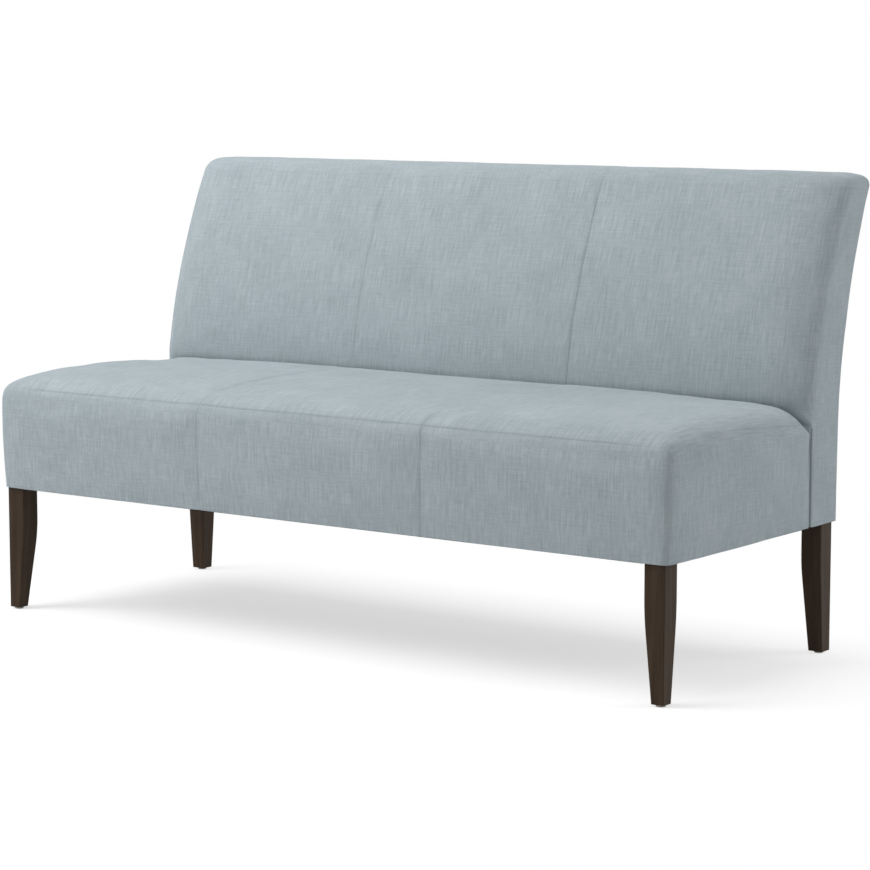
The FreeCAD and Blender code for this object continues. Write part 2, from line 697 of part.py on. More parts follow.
# Outside back board, bent round the rear of the frame, and the tack strip above it.
board_rear = f"({FRAME_REAR_RADIUS} - layer_gap - board_thickness)"
board_front = f"({FRAME_REAR_RADIUS} - layer_gap)"
strip_top = f"({FRAME_TOP_Z} - layer_gap)"
board_top = f"({strip_top} - tack_strip_height - layer_gap)"
body = new_body("outside_back_board_body")
lower = new_sketch(body, "board_lower", "YZ_Plane", f"webbing_margin - {FRAME_X}")
outline(
    lower,
    [
        (f"{FRAME_REAR_Y} + layer_gap", RAIL_Z),
        (f"{FRAME_REAR_Y} + layer_gap + board_thickness", RAIL_Z),
        (f"{FRAME_REAR_Y} + layer_gap + board_thickness", "bend_height"),
        (f"{FRAME_REAR_Y} + layer_gap", "bend_height"),
    ],
)
pad(body, lower, f"2 * ({FRAME_X} - webbing_margin)")
upper = new_sketch(body, "board_upper", "YZ_Plane", f"webbing_margin - {FRAME_X}")
band(upper, board_rear, board_front, "bend_height", board_top)
pad(body, upper, f"2 * ({FRAME_X} - webbing_margin)")
node(body, "outside_back_board")
body = new_body("tack_strip_body")
profile = new_sketch(body, "tack_strip_profile", "YZ_Plane", f"webbing_margin - {FRAME_X}")
strip_rear = f"({board_front} - tack_strip_thickness)"
band(profile, strip_rear, board_front, f"{strip_top} - tack_strip_height", strip_top)
pad(body, profile, f"2 * ({FRAME_X} - webbing_margin)")
node(body, "outside_back_tack_strip")

# Soft forms. Each layer is the same form at another inset, so that one lies inside the next.
half_x = number(HALF_X)
seam_x = number(SEAM_X)
front_y = number(FRONT_Y)
base_rear_y = number(BASE_REAR_Y)
side_seam_y = number(SIDE_SEAM_Y)
inside_back_y = number(INSIDE_BACK_Y)
underside = number("leg_height")
rail_z = number(RAIL_Z)
seam_z = number("seam_height")
crown_z = number("seam_height + crown_rise")
tuck_z = number("tuck_height")
bend_z = number("bend_height")
roll_z = number(ROLL_Z)
deck_top_z = number(DECK_TOP_Z)
cover = number("cover_thickness")
gap = number("layer_gap")
wadding_out = cover + gap
wadding_in = wadding_out + number("wadding_thickness")
foam_out = wadding_in + gap
BELOW = 5
FAR = 2000


def wire(edges):
    return Part.Wire(Part.__sortEdges__([edge.toShape() for edge in edges]))


def line(start, end):
    return [Part.LineSegment(start, end)]


def curve(start, through, end, inset):
    """An arc on the outside of the cover; the hidden faces under it follow two chords of the arc."""
    if inset == 0:
        return [Part.Arc(start, through, end)]
    return line(start, through) + line(through, end)


def slab(x0, x1, y0, y1, z0, z1):
    return Part.makeBox(x1 - x0, y1 - y0, z1 - z0, Vector(x0, y0, z0))


def seat_section(x, crown, pull, inset, floor):
    """The seat cut across at x. Crown is the share of the full rise, pull draws the front in."""
    rise = number("crown_rise") * crown
    nose = front_y + inset + pull
    bulge = number("front_bulge")
    foot = Vector(x, nose + bulge, floor)
    swell = Vector(x, nose, (underside + seam_z) / 2)
    seam = Vector(x, nose + bulge, seam_z - inset)
    shoulder = seam + Vector(0, number("seat_shoulder"), 0.62 * rise)
    roll = seam + Vector(0, 0.32 * number("seat_shoulder"), 0.36 * rise)
    rear_y = inside_back_y - gap - inset
    join = Vector(x, rear_y, seam_z - inset + 0.97 * rise)
    top = Vector(x, (shoulder.y + 2 * rear_y) / 3, seam_z - inset + rise)
    tuck = Vector(x, side_seam_y - gap - inset, tuck_z - inset)
    heel = Vector(x, tuck.y, floor)
    edges = line(heel, foot)
    edges += curve(foot, swell, seam, inset)
    edges += curve(seam, roll, shoulder, inset)
    edges += curve(shoulder, top, join, inset)
    edges += line(join, tuck)
    edges += line(tuck, heel)
    return wire(edges)


def seat_form(inset, floor):
    """The seat: a crowned top that rolls off at the ends, with a channel along each seam."""
    end_x = half_x - inset
    roll_x = half_x - number("seat_end_round")
    corner = max(1, number("seat_corner_round") - 1.5 * inset)
    seam_pull = number("seam_pull") if inset < wadding_in else 0
    channel = number("channel_width") / 2
    dip = 1 - number("channel_depth / crown_rise")
    stations = []
    for degrees in (0, 25, 50, 70, 82, 90):
        angle = math.radians(degrees)
        x = roll_x + (end_x - roll_x) * math.sin(angle)
        turn = max(0, x - end_x + corner) / corner
        pull = corner * (1 - math.sqrt(max(0, 1 - turn * turn)))
        stations.append((x, max(math.cos(angle), 0.06), pull))
    stations.append(((roll_x + seam_x) / 2, 1, 0))
    stations.append((seam_x + channel, 0.98, seam_pull / 4))
    stations.append((seam_x, dip, seam_pull))
    stations.append((seam_x - channel, 0.98, seam_pull / 4))
    both = [(-x, crown, pull) for x, crown, pull in stations] + [(0, 1, 0)] + stations
    sections = [seat_section(x, crown, pull, inset, floor) for x, crown, pull in sorted(both)]
    return Part.makeLoft(sections, True, True)


def rear_y_at(z, inset):
    """The rear face of the back at a height."""
    radius = number(CURVE_RADIUS) + inset
    rise = max(0, z - bend_z)
    return number(CURVE_Y) - math.sqrt(radius * radius - rise * rise)


def front_y_at(z, inset):
    """The inside back at a height: tucked away below the seat, then a tapering thickness off the rear."""
    if z <= tuck_z:
        return side_seam_y + inset
    low = rear_y_at(crown_z, 0) - inside_back_y
    share = (z - crown_z) / (roll_z - crown_z)
    thick = low + (number("back_thickness_top") - low) * share
    face = rear_y_at(z, 0) - thick
    if z < crown_z:
        face = side_seam_y + (inside_back_y - side_seam_y) * (z - tuck_z) / (crown_z - tuck_z)
    return face + inset


def back_heights():
    """Heights of the back's sections below its top roll."""
    heights = [tuck_z, crown_z, roll_z]
    if bend_z < tuck_z:
        heights.append(bend_z)
    heights += [crown_z + (roll_z - crown_z) * step / 5 for step in range(1, 5)]
    return sorted(heights)


def corner_at(z):
    """Radius of the back's front corners at a height."""
    return number("tuck_round" if z <= tuck_z else "corner_round")


def back_section(z, inset, shrink):
    """The back cut level at z: three swelled panels between rounded corners."""
    far = half_x - inset - shrink
    rear = rear_y_at(min(z, roll_z), inset) - shrink
    front = front_y_at(z, inset) + shrink
    corner = max(1, corner_at(z) - inset - shrink)
    if z <= tuck_z:
        corner = number("tuck_round")
    grow = min(1, max(0, (z - crown_z) / number("panel_crown_length")))
    fade = min(1, max(0.1, (roll_z + number("top_round") - z) / number("panel_crown_length")))
    swell = max(0.1, number("panel_crown") * grow * fade)
    lean = corner * (1 - math.sqrt(0.5))
    near = far - corner
    middle = (near + seam_x) / 2
    at = [
        Vector(-far, rear, z),
        Vector(far, rear, z),
        Vector(far, front + corner, z),
        Vector(near, front, z),
        Vector(seam_x, front, z),
        Vector(-seam_x, front, z),
        Vector(-near, front, z),
        Vector(-far, front + corner, z),
    ]
    edges = line(at[0], at[1])
    edges += line(at[1], at[2])
    edges += curve(at[2], Vector(far - lean, front + lean, z), at[3], inset)
    edges += curve(at[3], Vector(middle, front - swell, z), at[4], inset)
    edges += curve(at[4], Vector(0, front - swell, z), at[5], inset)
    edges += curve(at[5], Vector(-middle, front - swell, z), at[6], inset)
    edges += curve(at[6], Vector(-far + lean, front + lean, z), at[7], inset)
    edges += line(at[7], at[0])
    return wire(edges)


def back_form(inset, floor):
    """The back: curved rear face, tapering thickness and a roll round the top."""
    sections = [back_section(floor, inset, 0)]
    sections += [back_section(z, inset, 0) for z in back_heights()]
    radius = number("top_round") - inset
    for degrees in (30, 60, 90):
        angle = math.radians(degrees)
        z = roll_z + radius * math.sin(angle)
        sections.append(back_section(z, inset, radius * (1 - math.cos(angle))))
    return Part.makeLoft(sections, True, True)


def profile_zone(points, x0, x1):
    """A zone with the given outline in the side view, from x0 to x1."""
    loop = [Vector(x0, y, z) for y, z in points]
    return Part.Face(Part.makePolygon(loop + loop[:1])).extrude(Vector(x1 - x0, 0, 0))


def behind(depth, low, high):
    """All that lies behind a face parallel to the rear of the back, between two heights."""
    steps = [low] + [z for z in back_heights() if low < z < high] + [high]
    face = [(rear_y_at(z, depth), z) for z in steps]
    return profile_zone(face + [(FAR, high), (FAR, low)], -FAR, FAR)


def soft(label, shape):
    """A finished soft sub-part."""
    solids = shape.Solids
    piece = doc.addObject("Part::Feature", label)
    piece.Shape = solids[0] if len(solids) == 1 else Part.makeCompound(solids)
    return node(piece, label)


panels = (
    ("left", slab(-FAR, -seam_x, -FAR, FAR, -FAR, FAR)),
    ("center", slab(-seam_x, seam_x, -FAR, FAR, -FAR, FAR)),
    ("right", slab(seam_x, FAR, -FAR, FAR, -FAR, FAR)),
)


def seat_opening(inset):
    """Where the side rails and straps pass out under the rear of the seat's layers."""
    far = half_x - inset
    return slab(-far, far, side_seam_y - 4 * foam_out, FAR, underside - BELOW, deck_top_z)


def seat_layer(outer, inner, floor):
    shell = seat_form(outer, floor).cut(seat_form(inner, underside - BELOW))
    return shell.cut(seat_opening(inner))


seat_cover = seat_layer(0, cover, underside)
boxing_zone = slab(-FAR, FAR, -FAR, FAR, underside - BELOW, seam_z)
pulled_down = slab(cover - half_x, half_x - cover, inside_back_y - 40, FAR, deck_top_z, seam_z)
boxing_zone = boxing_zone.cut(pulled_down)
seat_top = seat_cover.cut(boxing_zone)
seat_boxing = seat_cover.common(boxing_zone)
for side, part_zone in panels:
    soft(f"seat_top_{side}_panel", seat_top.common(part_zone))
    soft(f"seat_boxing_{side}_panel", seat_boxing.common(part_zone))
soft("seat_wadding", seat_layer(wadding_out, wadding_in, rail_z))
above_deck = slab(-FAR, FAR, -FAR, FAR, deck_top_z + gap, FAR)
soft("seat_foam", seat_form(foam_out, underside).common(above_deck))


def back_layer(outer, inner, floor):
    """A layer over the sides and rear of the base, and all round the back above the tuck."""
    shell = back_form(outer, floor).cut(back_form(inner, underside - BELOW))
    far = half_x - inner
    front_wall = slab(-far, far, side_seam_y - 1, side_seam_y + 2 * foam_out, underside - BELOW, tuck_z)
    return shell.cut(front_wall)


back_cover = back_layer(0, cover, underside)
SLIVER = 0.2
rear_zone = behind(cover + SLIVER, underside - BELOW, roll_z)
outside_back = back_cover.common(rear_zone)
back_cover = back_cover.cut(rear_zone)
soft("outside_back_panel", outside_back)
side_face = [(side_seam_y - BELOW, underside - BELOW), (side_seam_y - BELOW, tuck_z)]
side_face += [(front_y_at(z, 0) + corner_at(z), z) for z in back_heights() if z > tuck_z]
side_face += [(FAR, roll_z), (FAR, underside - BELOW)]
side_edge = half_x - cover - SLIVER
for side, sign in SIDES:
    inner_x, outer_x = sorted((sign * side_edge, sign * FAR))
    zone = profile_zone(side_face, inner_x, outer_x)
    soft(f"back_side_{side}_panel", back_cover.common(zone))
    back_cover = back_cover.cut(zone)
for side, part_zone in panels:
    soft(f"inside_back_{side}_panel", back_cover.common(part_zone))
rear_clear = behind(foam_out, underside - BELOW, roll_z)
soft("back_wadding", back_layer(wadding_out, wadding_in, rail_z).cut(rear_clear))
frame_front = number("leg_inset + back_frame_depth + webbing_thickness") + 5 * gap
frame_zone = behind(frame_front, underside - BELOW, number(FRAME_TOP_Z) + gap)
above_tuck = slab(-FAR, FAR, -FAR, FAR, tuck_z + foam_out, FAR)
soft("back_foam", back_form(foam_out, underside).common(above_tuck).cut(frame_zone))

doc.recompute()

for thing in doc.Objects:
    if "Invalid" in thing.State or "Error" in thing.State:
        raise RuntimeError(f"{thing.Label} did not compute")
os.makedirs("parts", exist_ok=True)
for thing in nodes:
    shape = thing.Shape
    if shape.isNull() or not shape.isValid():
        raise RuntimeError(f"{thing.Label} has no valid shape")
    shape.exportStep(f"parts/{thing.Label}.step")
    print(thing.Label, len(shape.Solids), round(shape.Volume / 1000, 1))
print(len(nodes), "sub-parts")
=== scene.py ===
"""Looks of an upholstered banquette: padded seat and back, dark legs, inner frame and a studio."""

import math

import bmesh
import bpy
from bpy.props import FloatProperty, FloatVectorProperty, PointerProperty
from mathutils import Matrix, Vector, noise


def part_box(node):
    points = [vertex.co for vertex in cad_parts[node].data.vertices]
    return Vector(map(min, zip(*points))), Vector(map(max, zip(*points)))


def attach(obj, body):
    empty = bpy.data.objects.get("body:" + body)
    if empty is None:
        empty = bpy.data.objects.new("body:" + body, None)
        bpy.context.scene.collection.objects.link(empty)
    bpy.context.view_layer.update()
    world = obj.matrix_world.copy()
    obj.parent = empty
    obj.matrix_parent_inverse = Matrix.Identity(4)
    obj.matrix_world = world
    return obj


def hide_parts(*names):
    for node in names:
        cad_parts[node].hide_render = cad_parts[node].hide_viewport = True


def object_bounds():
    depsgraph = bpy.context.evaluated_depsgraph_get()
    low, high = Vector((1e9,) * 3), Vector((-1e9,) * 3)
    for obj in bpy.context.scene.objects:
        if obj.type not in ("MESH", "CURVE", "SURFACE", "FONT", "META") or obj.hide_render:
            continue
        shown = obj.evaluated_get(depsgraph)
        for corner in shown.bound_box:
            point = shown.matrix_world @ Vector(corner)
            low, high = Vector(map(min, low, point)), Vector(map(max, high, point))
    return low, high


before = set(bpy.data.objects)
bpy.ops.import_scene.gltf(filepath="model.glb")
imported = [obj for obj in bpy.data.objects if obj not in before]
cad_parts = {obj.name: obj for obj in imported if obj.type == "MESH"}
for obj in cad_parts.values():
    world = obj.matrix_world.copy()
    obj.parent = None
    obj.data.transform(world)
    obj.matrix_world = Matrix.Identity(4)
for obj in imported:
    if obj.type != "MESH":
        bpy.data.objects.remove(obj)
CAD_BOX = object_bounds()

bl_info = {
    "name": "Upholstered banquette",
    "version": (1, 0, 0),
    "blender": (4, 5, 0),
    "location": "View3D > Sidebar > Banquette",
    "description": "Dresses the frame of an upholstered banquette and sets up its studio",
    "category": "Object",
}

# Gaps that the padding keeps: above the dust cover, and half of the one between seat and back.
DUST_COVER_GAP = 0.002
PAD_GAP = 0.0005
# The outside back is upright this far below the seat's seam.
BELOW_SEAM = 0.1

# Places of the frame that the padding follows, in metres.
HALF_WIDTH = CAD_BOX[1].x
FRONT_Y = CAD_BOX[0].y
REAR_Y = CAD_BOX[1].y
TOP_Z = CAD_BOX[1].z
SEAM_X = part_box("seat_top_center_panel")[1].x
CROWN_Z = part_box("seat_top_center_panel")[1].z
HEM_Z, SEAM_Z = (corner.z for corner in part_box("seat_boxing_center_panel"))
SPLIT_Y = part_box("back_side_right_panel")[0].y
BASE_REAR_Y = max(
    v.co.y
    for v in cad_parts["outside_back_panel"].data.vertices
    if v.co.z < SEAM_Z - BELOW_SEAM
)
UNDERSIDE_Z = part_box("dust_cover")[1].z + DUST_COVER_GAP

SIDES = ("left", "right")
PANELS = ("left", "center", "right")
SEAT_NODES = ("seat_wadding", "seat_foam") + tuple(
    f"seat_{part}_{panel}_panel" for part in ("top", "boxing") for panel in PANELS
)
BACK_NODES = (
    ("back_wadding", "back_foam", "outside_back_panel")
    + tuple(f"back_side_{side}_panel" for side in SIDES)
    + tuple(f"inside_back_{panel}_panel" for panel in PANELS)
)

COVER_FINISH = "cover_fabric_finish"
ENDS = (-1, 1)
X, Y, Z = range(3)

# A point of a box is on a face that is nearer than this, and no seam shows as far away as this.
TOUCH = 1e-5
AWAY = 1.0
# The air doesn't move a point that a seam holds by this share, or this near a lower or rear edge.
HELD_SEAM = 0.9
HELD_LOW = 0.001
HELD_REAR = 0.002
# Edge loops on and beside the line where a cover folds in.
FOLD_LOOPS = (-0.006, 0.0, 0.006)
# How dark the painted shade in the crease between the seat's and the back's sides is; the same
# value draws the cover in there.
PAINTED_CREASE_SHADE = 1.6


class BanquetteSizes(bpy.types.PropertyGroup):
    """Sizes of the padding and its seams."""

    cell: FloatProperty(
        name="Cell",
        description="Spacing of the padding's mesh",
        default=0.0125,
        min=0.006,
        unit="LENGTH",
        precision=4,
    )
    seam_depth: FloatProperty(
        name="Seam depth",
        description="How far a seam draws the cover in",
        default=0.0016,
        unit="LENGTH",
    )
    seam_width: FloatProperty(
        name="Seam width",
        description="Half the width of the groove along a seam",
        default=0.003,
        unit="LENGTH",
    )
    front_roll: FloatProperty(
        name="Front roll",
        description="Depth of the roll at the seat's front edge",
        default=0.050,
        unit="LENGTH",
    )
    front_drop: FloatProperty(
        name="Front drop",
        description="Height of the roll at the seat's front edge",
        default=0.030,
        unit="LENGTH",
    )
    end_roll_front: FloatProperty(
        name="End roll, front",
        description="Length of the roll at the front of an end",
        default=0.045,
        unit="LENGTH",
    )
    end_roll_rear: FloatProperty(
        name="End roll, rear",
        description="Length of the roll at the rear of an end",
        default=0.070,
        unit="LENGTH",
    )
    end_drop_front: FloatProperty(
        name="End drop, front",
        description="Height of the roll at the front of an end",
        default=0.028,
        unit="LENGTH",
    )
    end_drop_rear: FloatProperty(
        name="End drop, rear",
        description="Height of the roll at the rear of an end",
        default=0.050,
        unit="LENGTH",
    )
    end_tuck: FloatProperty(
        name="End tuck",
        description="How much lower the seat tucks in at its ends",
        default=0.014,
        unit="LENGTH",
    )
    end_fall: FloatProperty(
        name="End fall",
        description="How far the seat's rear falls towards its ends",
        default=0.013,
        unit="LENGTH",
    )
    crown_reach: FloatProperty(
        name="Crown reach",
        description="Front edge to the full height of the seat",
        default=0.28,
        unit="LENGTH",
    )
    crown_slope: FloatProperty(
        name="Crown slope",
        description="Rise of the seat behind its front edge",
        default=0.020,
        unit="LENGTH",
    )
    crown_lift: FloatProperty(
        name="Crown lift",
        description="How far the padded crown stands above the frame's",
        default=0.005,
        unit="LENGTH",
    )
    boxing_seam: FloatProperty(
        name="Boxing seam",
        description="Edge of the seat to the seam round its top",
        default=0.024,
        unit="LENGTH",
    )
    hem_swell: FloatProperty(
        name="Hem swell",
        description="How far the seat's sides stand out at the hem",
        default=0.003,
        unit="LENGTH",
    )
    side_swell: FloatProperty(
        name="Side swell",
        description="Outward swell of the seat's sides",
        default=0.007,
        unit="LENGTH",
    )
    front_swell: FloatProperty(
        name="Front swell",
        description="Outward swell of the seat's front",
        default=0.004,
        unit="LENGTH",
    )
    seat_corner: FloatProperty(
        name="Seat corner",
        description="Radius of the seat's upright corners",
        default=0.022,
        unit="LENGTH",
    )
    side_crease: FloatProperty(
        name="Side crease",
        description="Depth of the crease between seat and back sides",
        default=0.004,
        unit="LENGTH",
    )
    hem_turn: FloatProperty(
        name="Hem turn",
        description="Width of the hem that hangs below the dust cover",
        default=0.002,
        unit="LENGTH",
    )
    pressure: FloatProperty(
        name="Pressure",
        description="Air that swells the covers",
        default=1.5,
    )
    swell_limit: FloatProperty(
        name="Swell limit",
        description="Furthest that the air moves a cover",
        default=0.003,
        unit="LENGTH",
    )
    unevenness: FloatProperty(
        name="Unevenness",
        description="Depth of the padding's small unevenness",
        default=0.0008,
        unit="LENGTH",
        precision=4,
    )
    tuck_height: FloatProperty(
        name="Tuck height",
        description="Where the inside back tucks behind the seat",
        default=0.440,
        unit="LENGTH",
    )
    inside_back: FloatProperty(
        name="Inside back",
        description="Place of the inside back at the seat",
        default=0.119,
        unit="LENGTH",
    )
    bend_height: FloatProperty(
        name="Bend height",
        description="Where the rear face starts to curve",
        default=0.375,
        unit="LENGTH",
    )
    back_top: FloatProperty(
        name="Back top",
        description="Thickness of the back under its top roll",
        default=0.116,
        unit="LENGTH",
    )
    back_corner_x: FloatProperty(
        name="Back corner width",
        description="Reach of the back's front corners along the seat",
        default=0.100,
        unit="LENGTH",
    )
    back_corner_y: FloatProperty(
        name="Back corner depth",
        description="Reach of the back's front corners into its depth",
        default=0.042,
        unit="LENGTH",
    )
    top_roll: FloatProperty(
        name="Top roll",
        description="Radius of the roll round the top of the back",
        default=0.026,
        unit="LENGTH",
    )
    top_end: FloatProperty(
        name="Top end",
        description="Length of the roll at each end of the back's top",
        default=0.045,
        unit="LENGTH",
    )
    rear_corner: FloatProperty(
        name="Rear corner",
        description="Radius of the back's rear corners",
        default=0.005,
        unit="LENGTH",
    )
    thread: FloatProperty(
        name="Thread",
        description="Spacing of the cover's threads",
        default=0.0016,
        unit="LENGTH",
        precision=4,
    )


class BanquetteColours(bpy.types.PropertyGroup):
    """Colours of the finishes, as linear light."""

    cover_light: FloatVectorProperty(
        name="Cover light yarn",
        description="Palest yarn of the cover",
        default=(0.50, 0.566, 0.598),
        subtype="COLOR",
    )
    cover_dark: FloatVectorProperty(
        name="Cover dark yarn",
        description="Darkest yarn of the cover",
        default=(0.30, 0.357, 0.382),
        subtype="COLOR",
    )
    leg_light: FloatVectorProperty(
        name="Leg light grain",
        description="Pale grain of the legs",
        default=(0.080, 0.052, 0.032),
        subtype="COLOR",
    )
    leg_dark: FloatVectorProperty(
        name="Leg dark grain",
        description="Dark grain of the legs",
        default=(0.026, 0.016, 0.010),
        subtype="COLOR",
    )
    frame_light: FloatVectorProperty(
        name="Frame light grain",
        description="Pale grain of the frame",
        default=(0.62, 0.45, 0.28),
        subtype="COLOR",
    )
    frame_dark: FloatVectorProperty(
        name="Frame dark grain",
        description="Dark grain of the frame",
        default=(0.42, 0.27, 0.15),
        subtype="COLOR",
    )
    floor: FloatVectorProperty(
        name="Floor",
        description="Colour of the studio floor",
        default=(0.80, 0.80, 0.80),
        subtype="COLOR",
    )


class Shade:
    """A shader socket; arithmetic on it adds Math nodes to the same tree."""

    def __init__(self, tree, socket=None):
        self.tree = tree
        self.socket = socket

    def node(self, kind, settings=None, inputs=None, output=0):
        """Any node: its settings, then its sockets' values or links; gives back one output."""
        made = self.tree.nodes.new(kind)
        for name, value in (settings or {}).items():
            setattr(made, name, value)
        for name, value in (inputs or {}).items():
            if isinstance(value, Shade):
                self.tree.links.new(value.socket, made.inputs[name])
            else:
                made.inputs[name].default_value = value
        return Shade(self.tree, made.outputs[output] if made.outputs else None)

    def outputs(self, *names):
        """More outputs of the node that this socket is on."""
        return [Shade(self.tree, self.socket.node.outputs[name]) for name in names]

    def math(self, operation, *values):
        return self.node("ShaderNodeMath", {"operation": operation}, dict(enumerate(values)))

    def __add__(self, other):
        return self.math("ADD", self, other)

    __radd__ = __add__

    def __sub__(self, other):
        return self.math("SUBTRACT", self, other)

    def __rsub__(self, other):
        return self.math("SUBTRACT", other, self)

    def __mul__(self, other):
        return self.math("MULTIPLY", self, other)

    __rmul__ = __mul__

    def clamped(self):
        return self.node("ShaderNodeClamp", None, {"Value": self})


def opaque(colour):
    return (*colour, 1.0)


def new_material(name):
    """An empty material and its shader tree."""
    material = bpy.data.materials.new(name)
    material.use_nodes = True
    material.node_tree.nodes.clear()
    return material, Shade(material.node_tree)


def finish_surface(tree, settings, normal=None):
    """A Principled surface and the material's output."""
    inputs = dict(settings)
    if normal is not None:
        inputs["Normal"] = normal
    surface = tree.node("ShaderNodeBsdfPrincipled", None, inputs)
    tree.node("ShaderNodeOutputMaterial", None, {"Surface": surface})


def object_place(tree):
    return tree.node("ShaderNodeTexCoord", output="Object")


def streaks(tree, place, scale, detail=2.0):
    """Noise drawn out by its scale along each axis, from 0 to 1."""
    stretched = tree.node("ShaderNodeMapping", None, {"Vector": place, "Scale": scale})
    return tree.node(
        "ShaderNodeTexNoise",
        {"noise_dimensions": "3D"},
        {"Vector": stretched, "Scale": 1.0, "Detail": detail, "Roughness": 0.55},
    )


def along_grain(close, drawn, axis):
    """Scale of a noise that is close on two axes and drawn out on one."""
    scale = [close] * 3
    scale[axis] = drawn
    return scale


def toned(layers):
    """Noises added round the middle tone, each by its weight, from 0 to 1."""
    middle = 0.5
    tone = middle
    for layer, weight in layers:
        tone = tone + weight * (layer - middle)
    return tone.clamped()


def blend(tree, share, first, second):
    """Mix of two colours; the node's colour sockets share their names, so they go by number."""
    settings = {"data_type": "RGBA", "clamp_factor": True}
    return tree.node("ShaderNodeMix", settings, {0: share, 6: first, 7: second}, output=2)


def relief(tree, height, strength, distance):
    inputs = {"Strength": strength, "Distance": distance, "Height": height}
    return tree.node("ShaderNodeBump", None, inputs)


def seen_directly(tree):
    """1 for rays from the camera, a mirror or a clear thing, and 0 for rays that gather light."""
    rays = tree.node("ShaderNodeLightPath")
    camera, mirror, clear = rays.outputs("Is Camera Ray", "Is Glossy Ray", "Is Transmission Ray")
    return tree.math("MAXIMUM", tree.math("MAXIMUM", camera, mirror), clear)


def cover_material(sizes, colours):
    """Heathered linen weave with slubs, with painted shade and some dirt in the seams' grooves, and
    painted shade in the side crease and low on the inside back.
    """
    # Changes of tone in a metre, across a yarn and along it.
    slub, slub_run = 300.0, 16.0
    yarn, yarn_run = 0.7 / sizes.thread, 45.0
    cloud = 9.0
    # How dark the painted shade along seams, the crease and the fold is, and how much of it shows.
    painted_shade_dark, painted_shade_share = 0.55, 0.55
    material, tree = new_material(COVER_FINISH)
    place = tree.node("ShaderNodeUVMap", {"uv_map": "UVMap"})
    # The seam attribute holds the seams' strength and the painted shade of the crease and the fold.
    seam = tree.node("ShaderNodeAttribute", {"attribute_name": "seam"}, output="Fac")
    slub_up = streaks(tree, place, (slub, slub_run, 1.0))
    slub_across = streaks(tree, place, (slub_run, slub, 1.0))
    yarn_up = streaks(tree, place, (yarn, yarn_run, 1.0))
    yarn_across = streaks(tree, place, (yarn_run, yarn, 1.0))
    clouds = streaks(tree, place, (cloud, cloud, 1.0), 3.0)
    slubs = ((slub_up, 1.1), (slub_across, 0.55))
    yarns = ((yarn_up, 0.7), (yarn_across, 0.5))
    tone = toned((*slubs, *yarns, (clouds, 0.5)))
    colour = blend(tree, tone, opaque(colours.cover_dark), opaque(colours.cover_light))
    # Painted shade: the cover darkens along the seams, in the side crease and low on the inside
    # back.
    shade = tuple(painted_shade_dark * part for part in colours.cover_dark)
    colour = blend(tree, painted_shade_share * seam, colour, opaque(shade))
    parts = tree.node("ShaderNodeSeparateXYZ", None, {"Vector": place})
    across, along = parts.outputs("X", "Y")
    turn = math.pi / sizes.thread
    warp_wave = tree.math("SINE", across * turn)
    weft_wave = tree.math("SINE", along * turn)
    warp = tree.math("ABSOLUTE", warp_wave)
    weft = tree.math("ABSOLUTE", weft_wave)
    over = 0.5 + 0.5 * tree.math("SIGN", warp_wave * weft_wave)
    height = over * warp + (1 - over) * weft + 0.6 * slub_up + 0.3 * slub_across
    finish_surface(
        tree,
        {
            "Base Color": colour,
            "Roughness": 0.92,
            "Specular IOR Level": 0.25,
            "Sheen Weight": 0.18,
            "Sheen Roughness": 0.45,
            "Sheen Tint": (0.85, 0.92, 0.97, 1.0),
        },
        relief(tree, height, strength=0.35, distance=0.0006),
    )
    return material


def wood_material(name, light, dark, axis, rough, shine):
    """Wood with its grain drawn out along one axis of the piece."""
    material, tree = new_material(name)
    place = object_place(tree)
    grain = streaks(tree, place, along_grain(90.0, 5.0, axis), 4.0)
    pores = streaks(tree, place, along_grain(420.0, 14.0, axis), 3.0)
    tone = toned(((grain, 1.3), (pores, 0.6)))
    finish_surface(
        tree,
        {
            "Base Color": blend(tree, tone, opaque(dark), opaque(light)),
            "Roughness": rough + 0.18 * (pores - 0.5),
            "Specular IOR Level": shine,
        },
        relief(tree, pores, strength=0.12, distance=0.0004),
    )
    return material


def cloth_material(name, light, dark, threads, rough=0.95):
    """Plain woven or felted cloth on the inside of the piece, with its threads in a metre."""
    run = 0.3 * threads
    weight = 0.9
    material, tree = new_material(name)
    place = object_place(tree)
    fibres = streaks(tree, place, (threads, run, threads), 3.0)
    cross = streaks(tree, place, (run, threads, threads), 3.0)
    tone = toned(((fibres, weight), (cross, weight)))
    finish_surface(
        tree,
        {
            "Base Color": blend(tree, tone, opaque(dark), opaque(light)),
            "Roughness": rough,
            "Specular IOR Level": 0.2,
        },
        relief(tree, fibres + cross, strength=0.3, distance=0.0005),
    )
    return material


def steel_material():
    """Zinc-plated screw steel."""
    dark, light = (0.42, 0.42, 0.40), (0.66, 0.66, 0.63)
    material, tree = new_material("screw_steel")
    wear = streaks(tree, object_place(tree), (500.0, 500.0, 120.0), 3.0)
    colour = blend(tree, wear, opaque(dark), opaque(light))
    rough = 0.25 + 0.25 * wear
    finish_surface(tree, {"Base Color": colour, "Metallic": 1.0, "Roughness": rough})
    return material


def plastic_material():
    """Pale nylon of the glides, scuffed."""
    dark, light = (0.52, 0.49, 0.43), (0.66, 0.64, 0.58)
    material, tree = new_material("glide_plastic")
    scuff = streaks(tree, object_place(tree), (260.0, 90.0, 260.0), 4.0)
    colour = blend(tree, scuff, opaque(dark), opaque(light))
    finish_surface(tree, {"Base Color": colour, "Roughness": 0.38 + 0.3 * scuff})
    return material


def coat(nodes, material):
    """Gives CAD nodes a finish."""
    for name in nodes:
        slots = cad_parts[name].material_slots
        if not slots:
            raise RuntimeError(f"{name} has no material slot")
        for slot in slots:
            slot.material = material


def mix(first, second, share):
    return first + (second - first) * share


